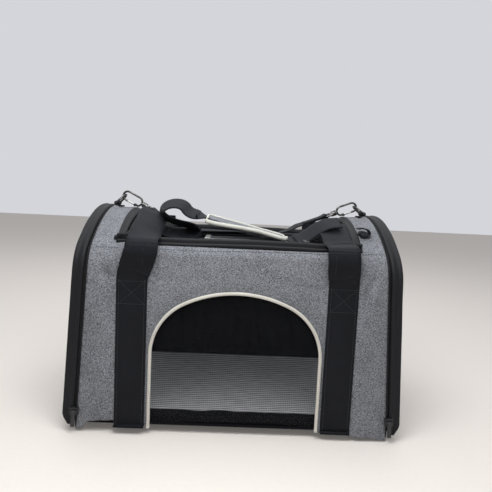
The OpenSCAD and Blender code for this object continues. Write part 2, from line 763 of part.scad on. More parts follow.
module end_pull(side) {
    x = coil_x + coil_w / 2;
    color(black) at_end(side) translate([x, end_pull_axis[0], end_pull_axis[1]])
        rotate([-90, 0, 0]) pull_tab(20);
}

base_panel();
base_board();
fleece_pad();
wall_panel(-1);  // front_panel
wall_panel(1);  // back_panel
front_mesh();
front_piping();
webbing(-1);  // left_webbing
webbing(1);  // right_webbing
roof_shell();
roof_zip_tape();
roof_flap_mesh();
roof_flap_binding();
roof_flap_hinge();
end_tape(-1);  // left_end_tape
zip_coil(-1);  // left_zip_coil
hoop(-1);  // left_hoop
ring_tab(-1);  // left_ring_tab
door_panel(-1);  // left_door_panel
door_rim(-1);  // left_door_rim
door_binding(-1);  // left_door_binding
door_mesh(-1);  // left_door_mesh
door_piping(-1);  // left_door_piping
door_hinge(-1);  // left_door_hinge
end_tape(1);  // right_end_tape
zip_coil(1);  // right_zip_coil
hoop(1);  // right_hoop
ring_tab(1);  // right_ring_tab
door_panel(1);  // right_door_panel
door_rim(1);  // right_door_rim
door_binding(1);  // right_door_binding
door_mesh(1);  // right_door_mesh
door_piping(1);  // right_door_piping
door_hinge(1);  // right_door_hinge
ring(-1);  // left_ring
eye(-1);  // left_eye
strap_end(-1);  // left_strap_end
hook(-1);  // left_hook
gate(-1);  // left_gate
ring(1);  // right_ring
eye(1);  // right_eye
strap_end(1);  // right_strap_end
hook(1);  // right_hook
gate(1);  // right_gate
shoulder_strap();
strap_adjuster();
front_handle();
grip_pad();
grip_flap();
back_handle();
roof_slider();
roof_pull();
end_slider(-1);  // left_slider
end_pull(-1);  // left_pull
end_slider(1);  // right_slider
end_pull(1);  // right_pull
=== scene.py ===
import bpy, bmesh, math
import numpy as np
from mathutils import Vector, Matrix, noise
from mathutils.bvhtree import BVHTree


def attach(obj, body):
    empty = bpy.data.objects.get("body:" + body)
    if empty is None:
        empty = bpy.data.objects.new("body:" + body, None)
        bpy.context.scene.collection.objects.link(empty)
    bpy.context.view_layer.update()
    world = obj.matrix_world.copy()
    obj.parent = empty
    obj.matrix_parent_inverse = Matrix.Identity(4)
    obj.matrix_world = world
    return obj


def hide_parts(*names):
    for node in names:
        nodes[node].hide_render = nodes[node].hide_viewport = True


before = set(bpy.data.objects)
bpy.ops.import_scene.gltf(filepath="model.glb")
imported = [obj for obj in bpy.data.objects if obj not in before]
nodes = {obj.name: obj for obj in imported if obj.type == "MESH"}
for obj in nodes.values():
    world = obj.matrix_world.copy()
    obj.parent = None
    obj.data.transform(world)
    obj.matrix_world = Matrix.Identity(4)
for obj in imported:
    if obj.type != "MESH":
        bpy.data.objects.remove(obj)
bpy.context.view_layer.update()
scene = bpy.context.scene
mm = 0.001


# ---- Camera, floor and light ----
# The bag was photographed from a little above, almost square on to its front wall,
# with a slight turn of the camera to the right.

camera_at = Vector((-0.0098, -0.7618, 0.3185))
camera_yaw, camera_pitch, camera_roll = (math.radians(a) for a in (1.53, 6.33, 2.74))
camera_lens, camera_sensor, picture = 37.06, 36.0, 492

look = Vector((math.sin(camera_yaw) * math.cos(camera_pitch),
               math.cos(camera_yaw) * math.cos(camera_pitch), -math.sin(camera_pitch)))
level_right = Vector((math.cos(camera_yaw), -math.sin(camera_yaw), 0))
level_up = level_right.cross(look)
right = math.cos(camera_roll) * level_right + math.sin(camera_roll) * level_up
up = math.cos(camera_roll) * level_up - math.sin(camera_roll) * level_right
lens_data = bpy.data.cameras.new("camera")
lens_data.lens, lens_data.sensor_width, lens_data.sensor_fit = camera_lens, camera_sensor, "AUTO"
lens_data.clip_start = 0.01
camera = bpy.data.objects.new("camera", lens_data)
camera.matrix_world = Matrix((
    (right.x, up.x, -look.x, camera_at.x), (right.y, up.y, -look.y, camera_at.y),
    (right.z, up.z, -look.z, camera_at.z), (0, 0, 0, 1)))
scene.collection.objects.link(camera)
scene.camera = camera
scene.view_settings.view_transform = "Standard"


def add_node(tree, kind, settings=(), **inputs):
    """A node whose inputs, by name or by _number, take values or other nodes' outputs."""
    node = tree.nodes.new(kind)
    for key, value in dict(settings).items():
        setattr(node, key, value)
    for key, value in inputs.items():
        socket = node.inputs[int(key[1:]) if key[0] == "_" else key.replace("_", " ")]
        value = getattr(value, "socket", value)
        if isinstance(value, bpy.types.NodeSocket):
            tree.links.new(value, socket)
        elif value is not None:
            socket.default_value = value
    return node


class Wire:
    """A shader socket that can be used in an expression."""

    def __init__(self, tree, socket):
        self.tree, self.socket = tree, socket

    def maths(self, kind, other=None):
        node = add_node(self.tree, "ShaderNodeMath", {"operation": kind}, _0=self, _1=other)
        return Wire(self.tree, node.outputs[0])

    def __add__(self, other): return self.maths("ADD", other)
    def __sub__(self, other): return self.maths("SUBTRACT", other)
    def __mul__(self, other): return self.maths("MULTIPLY", other)
    def sine(self): return self.maths("SINE")
    def wave(self): return self.sine() * 0.5 + 0.5
    def power(self, other): return self.maths("POWER", other)
    def clamp(self): return self.maths("MAXIMUM", 0.0).maths("MINIMUM", 1.0)


class Finish:
    """A material whose nodes are made one by one around a Principled shader."""

    def __init__(self, name, rough=0.8, **sockets):
        self.made = bpy.data.materials.new(name)
        self.made.use_nodes = True
        self.tree = self.made.node_tree
        self.shader = self.tree.nodes["Principled BSDF"]
        self.shader.inputs["Roughness"].default_value = rough
        for key, value in sockets.items():
            self.shader.inputs[key.replace("_", " ")].default_value = value
        self.coords = self.tree.nodes.new("ShaderNodeTexCoord")

    def wires(self, kind, settings=(), **inputs):
        node = add_node(self.tree, "ShaderNode" + kind, settings, **inputs)
        return [Wire(self.tree, socket) for socket in node.outputs]

    def place(self, stretch=(1, 1, 1), where="Object"):
        return self.wires("Mapping", Vector=self.coords.outputs[where], Scale=stretch)[0]

    def speckle(self, scale, detail=2.0, rough=0.5, stretch=(1, 1, 1)):
        at = self.place(stretch)
        return self.wires("TexNoise", Vector=at, Scale=scale, Detail=detail, Roughness=rough)[0]

    def axes(self, where="Object"):
        return self.wires("SeparateXYZ", Vector=self.place(where=where))

    def set(self, name, wire):
        self.tree.links.new(wire.socket, self.shader.inputs[name])
        return self

    def colour(self, amount, dark, light):
        mix = self.wires("Mix", {"data_type": "RGBA"}, _0=amount, _6=(*dark, 1.0), _7=(*light, 1.0))
        return self.set("Base Color", mix[2])

    def bump(self, height, depth=0.0004, strength=1.0):
        return self.set("Normal", self.wires("Bump", Height=height, Distance=depth, Strength=strength)[0])


def grained(name, rough, scale, dark, light, depth, strength, detail=2.0, stretch=(1, 1, 1), **sockets):
    """A finish whose colour and surface both follow one fine grain."""
    finish = Finish(name, rough, **sockets)
    grain = finish.speckle(scale, detail, 0.5, stretch)
    return finish.colour(grain, dark, light).bump(grain, depth, strength)


def lamp(name, power, size, at, aim):
    data = bpy.data.lights.new(name, "AREA")
    data.energy, data.size = power, size
    made = bpy.data.objects.new(name, data)
    made.location = at
    made.rotation_euler = (Vector(aim) - Vector(at)).to_track_quat("-Z", "Y").to_euler()
    scene.collection.objects.link(made)


lamp("window_light", 1.1, 1.3, (-0.75, -1.15, 1.35), (0, 0, 0.1))
lamp("room_light", 0.5, 1.6, (0.9, -1.2, 0.9), (0, 0, 0.12))
lamp("ceiling_light", 13, 1.8, (-0.05, 0.30, 1.55), (0, 0, 0.15))
lamp("near_light", 2.0, 0.3, (-0.02, -0.36, 0.58), (-0.01, -0.13, 0.2))

sky = bpy.data.worlds.new("room")
sky.use_nodes = True
scene.world = sky
air = sky.node_tree
glow = air.nodes["Background"]
glow.inputs["Color"].default_value = (0.93, 0.95, 1.0, 1.0)
glow.inputs["Strength"].default_value = 0.31
seen = add_node(air, "ShaderNodeBackground", Color=(0.66, 0.665, 0.70, 1.0))
ray = add_node(air, "ShaderNodeLightPath").outputs
direct = add_node(air, "ShaderNodeMath", {"operation": "MAXIMUM"},
                  _0=ray["Is Camera Ray"], _1=ray["Is Glossy Ray"]).outputs[0]
shine = add_node(air, "ShaderNodeMixShader", _0=direct, _1=glow.outputs[0], _2=seen.outputs[0])
air.links.new(shine.outputs[0], air.nodes["World Output"].inputs[0])


def solid(name, corners, faces, *finishes, uv=None, body=None):
    """A mesh object from corners in millimetres, with its finishes, riding on a body."""
    mesh = bpy.data.meshes.new(name)
    mesh.from_pydata([(x * mm, y * mm, z * mm) for x, y, z in corners], [], faces)
    if uv:
        layer = mesh.uv_layers.new(name="cloth")
        for loop in mesh.loops:
            layer.data[loop.index].uv = [c * mm for c in uv[loop.vertex_index]]
    mesh.polygons.foreach_set("use_smooth", [True] * len(mesh.polygons))
    for finish in finishes:
        mesh.materials.append(finish.made)
    made = bpy.data.objects.new(name, mesh)
    scene.collection.objects.link(made)
    if body:
        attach(made, body)
    return made


floor_cloth = grained("floor_cloth", 0.9, 220, (0.86, 0.81, 0.755), (0.92, 0.865, 0.81), 0.0006, 0.4, 4,
                      Emission_Color=(0.90, 0.84, 0.785, 1.0), Emission_Strength=0.11)
floor = solid("floor", [(-4000, -3000, 0), (4000, -3000, 0), (4000, 4000, 0), (-4000, 4000, 0)],
              [(0, 1, 2, 3)], floor_cloth)


# ---- The bag's grey shell: front wall, back wall and roof ----
# Heathered woven polyester over thin foam, sewn into one soft shell with a black lining.
# It is flat on top in the middle and follows the round end frames at both ends.

base_len, body_depth, arch_h, roof_h, end_lean = 434, 272, 287, 252, math.radians(3.2)
corner_r, crown_r, brow_r, mid_crown_r = 46, 190, 12, 1200
half_y, end_x, band_w = body_depth / 2, base_len / 2, 26.0
arch_from, flat_from, floor_gap, foot_r = 172, 96, 1, 14
hatch_x = 148
tape_x = hatch_x + 9
hatch_y = (crown_r - 3) * (half_y - corner_r) / (crown_r - corner_r) - 1.9
web_x, web_w, web_t = 133, 38, 1.8
window = dict(half=106, top=186, low=16, corner=72, crown=150)
base_lift, base_z, board_z = 9, 10.8, 13.8
shell_end = -16.6


def blend(a, b, t):
    return a + (b - a) * t


def ease(t):
    t = max(0.0, min(1.0, t))
    return t * t * (3 - 2 * t)


def end_plane(x, z):
    return end_x + x / math.cos(end_lean) - z * math.tan(end_lean)


def flatness(x):
    return ease((arch_from - abs(x)) / (arch_from - flat_from))


def profile(w):
    """Corner radius, crown radius, crown centre, corner centre (y, z) and tangent angle."""
    r, big = blend(corner_r, brow_r, w), 1 / blend(1 / crown_r, 1 / mid_crown_r, w)
    cz, ky = blend(arch_h, roof_h, w) - big, half_y - r
    kz = cz + math.sqrt((big - r) ** 2 - ky * ky)
    return r, big, cz, ky, kz, math.atan2(kz - cz, ky)


def roof_z(x, y):
    r, big, cz, ky, kz, ka = profile(flatness(x))
    return cz + math.sqrt(big * big - y * y)


def window_turns():
    """Corner centre (x, z), crown centre and tangent angle of the front window's outline."""
    kx, cz = window["half"] - window["corner"], window["top"] - window["crown"]
    kz = cz + math.sqrt((window["crown"] - window["corner"]) ** 2 - kx * kx)
    return kx, kz, cz, math.atan2(kz - cz, kx)


def window_gap(x, z):
    """Rough distance outwards from the edge of the front window, in the wall's plane."""
    kx, kz, cz, ka = window_turns()
    if z < kz:
        return abs(x) - window["half"]
    if math.atan2(z - cz, abs(x)) > ka:
        return math.hypot(x, z - cz) - window["crown"]
    return math.hypot(abs(x) - kx, z - kz) - window["corner"]


def lumps(x, z, scale, seed):
    return noise.noise(Vector((x / scale, z / scale, seed)))


def crease(x, z, x0, z0, x1, z1, width):
    """A soft groove along the line from (x0, z0) to (x1, z1)."""
    along = Vector((x1 - x0, z1 - z0))
    t = max(0.0, min(1.0, Vector((x - x0, z - z0)).dot(along) / along.length_squared))
    off = math.hypot(x - x0 - along.x * t, z - z0 - along.y * t)
    return math.exp(-(off / width) ** 2) * math.sin(math.pi * (0.15 + 0.7 * t))


# Height of the wall's lower edge along the bag: it hangs a little unevenly
front_hem = [(-200, 3), (-193, 6), (-186, 14.5), (-170, 16), (-150, 16.5), (-120, 12), (-106, 12.5),
             (-60, 15), (0, 17), (55, 18.3), (85, 15), (104, 11), (114, 9), (145, 6), (179, 4.3), (200, 1.5)]
back_hem = [(-200, 3), (-188, 9), (-150, 11), (-60, 9), (30, 12), (120, 9), (185, 9), (200, 3)]


def hem_z(x, back=False):
    knots = back_hem if back else front_hem
    x = max(-199.9, min(199.9, x))
    for (x0, z0), (x1, z1) in zip(knots, knots[1:]):
        if x <= x1:
            return blend(z0, z1, ease((x - x0) / (x1 - x0)))


# Soft folds of the front wall: the rise of each, the line it follows and its width
front_creases = [(-6.0, -172, 226, -160, 196, 6.0), (-3.0, -178, 208, -158, 202, 4.5),
                 (-4.5, 170, 214, 160, 178, 5.5), (2.5, 176, 205, 168, 168, 6.0),
                 (-1.4, -100, 200, -30, 206, 5), (-1.2, 40, 207, 104, 196, 5)]


def wall_swell(x, z, back=False):
    """How far the cloth stands out from the flat wall, in millimetres."""
    band = abs(abs(x) - web_x) - web_w / 2
    edge = end_plane(shell_end, z) - abs(x)
    opening = 99 if back else window_gap(x, z)
    hold = ease((band + 2) / 16) * ease(edge / 12) * ease((opening - 5) / 15)
    outside = abs(x) > web_x
    swell = hold * (2.2 if outside else 1.6)
    swell += hold * (2.4 * lumps(x, z, 46, 3 + back) + 1.1 * lumps(x, z * 0.6, 17, 7 + back))
    swell += hold * 0.5 * lumps(x * 1.4, z * 0.5, 8, 5 + back)
    if not back:
        swell += sum(hold * rise * crease(x, z, *run) for rise, *run in front_creases)
        swell -= 1.6 * ease((opening - 4) / 8) * crease(x, z, 84, 168, 108, 136, 5)
    return swell


grey_cloth = Finish("grey_cloth", 0.92, Sheen_Weight=0.15, Sheen_Roughness=0.5, Specular_IOR_Level=0.3)
weft = grey_cloth.speckle(1.0, 2.0, 0.6, (560, 560, 1500))
warp = grey_cloth.speckle(1.0, 2.0, 0.6, (1500, 1500, 560))
cloud = grey_cloth.speckle(26, 3.0)
heather = ((weft - 0.5) * 2.1 + (warp - 0.5) * 2.1 + (cloud - 0.5) * 0.35 + 0.5).clamp()
grey_cloth.colour(heather, (0.024, 0.027, 0.033), (0.345, 0.360, 0.392))
yarn_x, yarn_y, yarn_z = grey_cloth.axes()
weave = ((yarn_x + yarn_y) * 5200).sine() * (yarn_z * 5200).sine()
grey_cloth.bump(heather * 0.7 + weave * 0.3, 0.0005, 0.55)

black_lining = grained("black_lining", 0.9, 900, (0.003, 0.003, 0.004), (0.008, 0.008, 0.010), 0.0003, 0.4,
                       Specular_IOR_Level=0.1)


# Stations along the bag, each a cross-section of the shell; the outermost lean with the ends
last_station, roof_steps, outer_steps = 200, 104, 12
inner = [-hatch_x + 2 * hatch_x * i / roof_steps for i in range(1, roof_steps)]
outer = [tape_x + (last_station - tape_x) * i / outer_steps for i in range(1, outer_steps + 1)]
stations = [-x for x in reversed(outer)] + [-tape_x, -hatch_x] + inner + [hatch_x, tape_x] + outer


def station_x(s, z):
    if abs(s) <= tape_x:
        return s
    beyond = (abs(s) - tape_x) / (last_station - tape_x)
    return math.copysign(blend(tape_x, end_plane(shell_end, z), beyond), s)


wall_rows, corner_rows, crown_rows = 72, 10, 48


def shell_row(s):
    """The shell's cross-section at one station: a list of (point, outward normal, kind)."""
    w = flatness(station_x(s, 250))
    r, big, cz, ky, kz, ka = profile(w)
    halves = []
    for side in (-1, 1):
        low = hem_z(s, side > 0)
        half = [(side * half_y, blend(low, kz, i / wall_rows), side, 0, "wall") for i in range(wall_rows)]
        half += [(side * (ky + r * math.cos(a)), kz + r * math.sin(a), side * math.cos(a), math.sin(a),
                  "corner") for a in (ka * i / corner_rows for i in range(corner_rows + 1))]
        halves.append(half)
    turns = [math.acos(blend(-hatch_y, hatch_y, i / crown_rows) / big) for i in range(crown_rows + 1)]
    crown = [(big * math.cos(a), cz + big * math.sin(a), math.cos(a), math.sin(a), "crown") for a in turns]
    return halves[0] + crown + halves[1][::-1]


rows = [shell_row(s) for s in stations]
corners, uvs = [], []
for s, row in zip(stations, rows):
    for y, z, ny, nz, kind in row:
        x = station_x(s, z)
        out = 0.0
        if kind != "crown":
            out = wall_swell(x, z, y > 0) * (1 if kind == "wall" else 1 - nz)
            out *= ease((abs(x) - tape_x - 4) / 16) if nz > 0.5 else 1
        else:
            hold = ease((abs(x) - tape_x - 2) / 10) * ease((end_plane(shell_end, z) - abs(x)) / 8)
            out = hold * (1.2 * lumps(x, y, 22, 11) - 2.5 * math.cos(y / 60) ** 2)
        out += 0.9 * ease(1 - (end_plane(shell_end, z) - abs(x)) / 9)
        corners.append((x, y + ny * out, z + nz * out))
        uvs.append((x, y))
per = len(rows[0])
hatch_first = wall_rows + corner_rows + 1


def grid_faces(nu, nv):
    """The faces of an open grid of nu by nv cells."""
    starts = (i * (nv + 1) + j for i in range(nu) for j in range(nv))
    return [(a, a + nv + 1, a + nv + 2, a + 1) for a in starts]


def is_cloth(face):
    """Whether a face lies neither in the hatch's opening nor in the front window's."""
    i, j = divmod(face[0], per)
    s = (stations[i] + stations[i + 1]) / 2
    y, z = rows[i][j][0], (rows[i][j][1] + rows[i][j + 1][1]) / 2
    in_hatch = hatch_first <= j < hatch_first + crown_rows and abs(s) < hatch_x
    return not in_hatch and not (y < 0 and rows[i][j][4] == "wall" and window_gap(s, z) < 2.2)


faces = [face for face in grid_faces(len(rows) - 1, per - 1) if is_cloth(face)]
shell = solid("bag_shell", corners, faces, grey_cloth, black_lining, uv=uvs, body="bag")
wall = shell.modifiers.new("foam", "SOLIDIFY")
wall.thickness, wall.offset, wall.use_even_offset = 2.6 * mm, -1, False
wall.material_offset, wall.material_offset_rim = 1, 1
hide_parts("front_panel", "back_panel", "roof_shell")


# ---- Front window: mesh, liner and cream piping ----
# A wide arch cut through the front wall, closed from inside by black knitted mesh.
# Cream cord piping is sewn round the edge, with both ends running down to the hem.


def arc(cu, cv, r, start, end, count):
    """Points along a circle round (cu, cv), from one angle to just short of the other."""
    turns = (blend(start, end, k / count) for k in range(count))
    return [(cu + r * math.cos(a), cv + r * math.sin(a)) for a in turns]


def window_edge(grow, low=None, steps=(14, 14, 22)):
    """Points (x, z) along the opening moved outwards by grow, from lower right to lower left."""
    kx, kz, cz, ka = window_turns()
    low = window["low"] - grow if low is None else low
    half = [(window["half"] + grow, blend(low, kz, i / steps[0])) for i in range(steps[0])]
    half += arc(kx, kz, window["corner"] + grow, 0, ka, steps[1])
    half += arc(0, cz, window["crown"] + grow, ka, math.pi / 2, steps[2])
    return half + [(0, window["top"] + grow)] + [(-x, z) for x, z in reversed(half)]


# Knitted mesh: fine level threads with gaps between them, which let light through
window_mesh = Finish("window_mesh", 0.8, Specular_IOR_Level=0.08)
mesh_x, _, mesh_z = window_mesh.axes()
thread = (mesh_z * 2513).wave().power(1.5)
stitch = (mesh_x * 2600 + (mesh_z * 1950).sine() * 0.9).wave().power(2.0)
streak = window_mesh.speckle(1.0, 3.0, 0.5, (60, 60, 900))
weight = (thread * 0.75 + stitch * 0.35 + (streak - 0.5) * 0.8)
window_mesh.colour(weight.clamp(), (0.003, 0.003, 0.004), (0.020, 0.021, 0.024))
window_mesh.set("Alpha", (weight * 0.80 + 0.02).clamp())
window_mesh.bump(weight, 0.0004, 0.5)

cols, rows_up, corners = 84, 60, []
mesh_outline = window_edge(5.0, 6)


def mesh_top(x):
    best = 0
    for (x0, z0), (x1, z1) in zip(mesh_outline, mesh_outline[1:]):
        if min(x0, x1) <= x <= max(x0, x1) and abs(x0 - x1) > 1e-6:
            best = max(best, blend(z0, z1, (x - x0) / (x1 - x0)))
    return best


def mesh_dent(x, z):
    return 1.6 * lumps(x, z, 60, 21) + 0.7 * lumps(x * 2, z * 0.6, 22, 23)


for i in range(cols + 1):
    x = blend(-111, 111, i / cols)
    for j in range(rows_up + 1):
        z = blend(hem_z(x) + 0.6, mesh_top(max(-110.9, min(110.9, x))), j / rows_up)
        hold = ease(-window_gap(x, z) / 14) * ease((z - 18) / 16)
        corners.append((x, -half_y + 3.1 + hold * mesh_dent(x, z), z))
front_mesh = solid("front_window_mesh", corners, grid_faces(cols, rows_up), window_mesh, body="bag")
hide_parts("front_mesh")

# Behind the mesh, the lining stands up as a low black sill
lining_sill = grained("lining_sill", 0.9, 700, (0.005, 0.005, 0.006), (0.013, 0.013, 0.015), 0.0002, 0.08,
                      Specular_IOR_Level=0.1)


def laid(name, rows, finish, body, uvs=None, closed=False, flip=False, mend=False):
    """A skin over rows of points; each row is a closed section, in order along the piece."""
    n, count, faces = len(rows[0]), len(rows), []
    for i in range(count if closed else count - 1):
        this, following = i * n, (i + 1) % count * n
        for j in range(n):
            k = (j + 1) % n
            face = (this + j, following + j, following + k, this + k)
            faces.append(face[::-1] if flip else face)
    if not closed:
        faces += [tuple(range(n - 1, -1, -1)), tuple((count - 1) * n + k for k in range(n))]
    made = solid(name, [p for row in rows for p in row], faces, finish, uv=uvs, body=body)
    return face_out(made) if mend else made


def face_out(made):
    """All faces of a closed piece turned outwards."""
    fix = bmesh.new()
    fix.from_mesh(made.data)
    bmesh.ops.recalc_face_normals(fix, faces=fix.faces)
    fix.to_mesh(made.data)
    fix.free()
    return made


sill_front, sill_back, sill_foot, sill_top = -130.0, -128.8, 12.4, 31
rows = []
for x in range(-168, 169, 6):
    top = sill_top + 1.5 * lumps(x, 0, 30, 31)
    rows.append([(x, y, z) for y, z in (
        (sill_front + 0.1, sill_foot), (sill_front, 20), (sill_front, top - 1), (sill_front + 0.6, top),
        (sill_back, top - 1), (sill_back, 20), (sill_back, sill_foot))])
sill = laid("lining_sill_strip", rows, lining_sill, "bag")


def sweep(name, path, outline, finish, body, closed=False):
    """A tube of the given outline (across, off) along a path of (point, across, off) in mm."""
    rows, uvs, run, last = [], [], 0.0, Vector(path[0][0])
    for point, across, off in path:
        p = Vector(point)
        run += (p - last).length
        last = p
        rows.append([tuple(p + Vector(across) * u + Vector(off) * v) for u, v in outline])
        uvs += [(run, u) for u, v in outline]
    return laid(name, rows, finish, body, uvs, closed)


cream_cloth = Finish("cream_piping", 0.7, Sheen_Weight=0.2)
cord_u, cord_v, _ = cream_cloth.axes("UV")
twist = (cord_u * 2800 + cord_v * 900).wave()
soil = cream_cloth.speckle(60, 3.0)
cream_cloth.colour((twist * 0.35 + soil * 0.65).clamp(), (0.50, 0.48, 0.42), (0.74, 0.72, 0.66))
cream_cloth.bump(twist, 0.0003, 0.6)


def piping_path(low_right, low_left, y):
    path = window_edge(2.4, 10, (24, 22, 30))
    path[0], path[-1] = (path[0][0], low_right), (path[-1][0], low_left)
    out = []
    for i, (x, z) in enumerate(path):
        x0, z0 = path[max(0, i - 1)]
        x1, z1 = path[min(len(path) - 1, i + 1)]
        t = Vector((x1 - x0, 0, z1 - z0)).normalized()
        out.append(((x, y, z), (-t.z, 0, t.x), (0, 1, 0)))
    return out


front_cord = sweep("front_piping_cord", piping_path(11, 8.5, -half_y - 1.5),
                   arc(0, 0, 2.2, 0, math.tau, 12), cream_cloth, "bag")
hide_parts("front_piping")


# ---- Webbing bands round the bag ----
# Two bands of black polypropylene webbing run up the front wall, under the base and up the back.
# They are sewn flat to the walls; above the zip they come free and carry the handles.

black_webbing = Finish("black_webbing", 0.6, Sheen_Weight=0.04, Sheen_Roughness=0.4, Specular_IOR_Level=0.16)
run_u, run_v, _ = black_webbing.axes("UV")
rib_wave = (run_u * 2350 + (run_v * 1600).sine() * 1.4).wave()
warp_wave = (run_v * 3100).wave()
lint = black_webbing.speckle(900, 3.0)
wear = black_webbing.speckle(30)
yarn = rib_wave * 0.55 + warp_wave * 0.45
black_webbing.colour((yarn * 0.45 + lint * 0.4 + (wear - 0.5) * 0.5).clamp(),
                     (0.002, 0.002, 0.003), (0.011, 0.013, 0.019))
black_webbing.bump(yarn, 0.0005, 0.7)


def spaced(line, count):
    """Points evenly spaced by length along a line of points, leaving out its last one."""
    steps = [math.dist(a, b) for a, b in zip(line, line[1:])]
    total, out, walked, i = sum(steps), [], 0.0, 0
    for k in range(count):
        want = total * k / count
        while walked + steps[i] < want:
            walked += steps[i]
            i += 1
        out.append(Vector(line[i]).lerp(Vector(line[i + 1]), (want - walked) / steps[i]))
    return out


def smooth_line(points, step):
    """The corners rounded off by a spline through the points, then spaced evenly."""
    pts = [Vector(p) for p in points]
    dense = []
    for i in range(len(pts) - 1):
        a, b = pts[max(0, i - 1)], pts[i]
        c, d = pts[i + 1], pts[min(len(pts) - 1, i + 2)]
        for k in range(16):
            t = k / 16
            dense.append(0.5 * (2 * b + (c - a) * t + (2 * a - 5 * b + 4 * c - d) * t * t
                                + (3 * b - 3 * c + d - a) * t * t * t))
    dense.append(pts[-1])
    total = sum((q - p).length for p, q in zip(dense, dense[1:]))
    return spaced(dense, max(2, round(total / step))) + [dense[-1]]


def strap_outline(width, thick, across=8):
    """A flat strap's cross-section with rounded selvedges and a slightly raised middle."""
    top = [(width * (k / across - 0.5), thick * (0.5 + 0.08 * math.cos(math.pi * (k / across - 0.5))))
           for k in range(across + 1)]
    edge = [(width / 2 + thick * 0.22, 0.0)]
    return ([(-width / 2 - thick * 0.22, 0.0)] + top + edge
            + [(u, -v) for u, v in reversed(top)])[::-1]


def strap(name, points, width, thick, body, side=(0, 1, 0), twist=None, ripple=0.0, seed=0):
    """A webbing strap whose centre line runs through the points, its width along side."""
    path, last = [], len(points) - 1
    for i, p in enumerate(points):
        along = (Vector(points[min(last, i + 1)]) - Vector(points[max(0, i - 1)])).normalized()
        off = along.cross(Vector(twist(i / last) if twist else side)).normalized()
        across = off.cross(along).normalized()
        shift = off * (ripple * noise.noise(Vector((i * 0.13, seed, 0))))
        path.append((Vector(p) + shift, across, off))
    return sweep(name, path, strap_outline(width, thick), black_webbing, body)


shoulder_z = profile(0)[4] - 3.4
sew_z = shoulder_z - 6
stub_y, handle_out = half_y + web_t / 2, 14
peak_y = half_y + handle_out - web_t / 2
front_stub = [(-stub_y, sew_z), (-stub_y - 3, sew_z + 12), (-stub_y - 8, sew_z + 23),
              (-peak_y, sew_z + 34), (-peak_y, sew_z + 40), (-peak_y + 1, sew_z + 45)]
front_axis = (-peak_y + 2.1, sew_z + 48)
back_stub = [(stub_y, sew_z), (stub_y + 1.6, sew_z + 12), (stub_y + 3.4, sew_z + 26),
             (stub_y + 4.6, sew_z + 40), (stub_y + 5.2, sew_z + 54), (stub_y + 6.4, sew_z + 62),
             (peak_y - 4.2, sew_z + 65)]
back_axis = (peak_y - 3.1, sew_z + 66.5)


# The front handle lies over to one side, and pulls the band's free ends towards the middle
left_pull, right_pull, pull_from, pull_over = 13, -5, 198, 48


def lean(sign, y, z):
    return (left_pull if sign < 0 else right_pull) * ease((z - pull_from) / pull_over) if y < 0 else 0


def band_points(sign):
    low = base_lift + web_t / 2
    half = [(stub_y - 6, low), (stub_y - 1.2, low + 1.6), (stub_y, low + 7), (stub_y, 80), (stub_y, 150)]
    line = front_stub[::-1] + [(-y, z) for y, z in half[::-1]] + [(0, low)] + half + back_stub
    return smooth_line([(sign * web_x + lean(sign, y, z), y, z) for y, z in line], 4.0)


both_ends = (("left", -1), ("right", 1))
for side, sign in both_ends:
    band = strap(side + "_webbing_band", band_points(sign), web_w, web_t, "bag", (1, 0, 0), ripple=0.5,
                 seed=3 + sign)
    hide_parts(side + "_webbing")


def bead_tree():
    """Geometry Nodes: small capsules laid end to end along a curve, such as stitches or zip teeth."""
    tree = bpy.data.node_groups.new("beads_on_a_line", "GeometryNodeTree")
    for label, kind in (("Line", "Geometry"), ("Pitch", "Float"), ("Size", "Vector"), ("Finish", "Material"),
                        ("Smooth", "Bool")):
        tree.interface.new_socket(label, in_out="INPUT", socket_type="NodeSocket" + kind)
    tree.interface.new_socket("Beads", in_out="OUTPUT", socket_type="NodeSocketGeometry")

    def add(kind, settings=(), **inputs):
        return add_node(tree, kind, settings, **inputs).outputs[0]

    given = tree.nodes.new("NodeGroupInput").outputs
    curve = add("GeometryNodeMeshToCurve", Mesh=given["Line"])
    even = add("GeometryNodeResampleCurve", {"mode": "LENGTH"}, Curve=curve, Length=given["Pitch"])
    turn = add("FunctionNodeAlignEulerToVector", {"axis": "X"}, Vector=add("GeometryNodeInputTangent"))
    ball = add("GeometryNodeMeshIcoSphere", Radius=0.5, Subdivisions=1)
    placed = add("GeometryNodeInstanceOnPoints", Points=even, Instance=ball, Rotation=turn,
                 Scale=given["Size"])
    real = add("GeometryNodeRealizeInstances", Geometry=placed)
    paint = add("GeometryNodeSetMaterial", Geometry=real, Material=given["Finish"])
    soft = add("GeometryNodeSetShadeSmooth", Geometry=paint, Shade_Smooth=given["Smooth"])
    add_node(tree, "NodeGroupOutput", Beads=soft)
    return tree


bead_nodes = bead_tree()


def beaded(name, lines, finish, body, pitch, size, smooth):
    """Beads along lines of points in millimetres, turned to a plain mesh."""
    verts, edges = [], []
    for line in lines:
        edges += [(len(verts) + i, len(verts) + i + 1) for i in range(len(line) - 1)]
        verts += [tuple(Vector(p) * mm) for p in line]
    mesh = bpy.data.meshes.new(name)
    mesh.from_pydata(verts, edges, [])
    made = bpy.data.objects.new(name, mesh)
    scene.collection.objects.link(made)
    sew = made.modifiers.new("beads", "NODES")
    sew.node_group = bead_nodes
    values = {"Pitch": pitch * mm, "Size": [c * mm for c in size], "Finish": finish.made, "Smooth": smooth}
    for item in bead_nodes.interface.items_tree:
        if item.name in values:
            sew[item.identifier] = values[item.name]
    bpy.context.view_layer.update()
    made.data = bpy.data.meshes.new_from_object(made.evaluated_get(bpy.context.evaluated_depsgraph_get()))
    made.modifiers.clear()
    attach(made, body)
    return made


def stitched(name, seams, finish, body, pitch=3.2, length=2.5, thick=0.7):
    return beaded(name, seams, finish, body, pitch, (length, thick, thick), True)


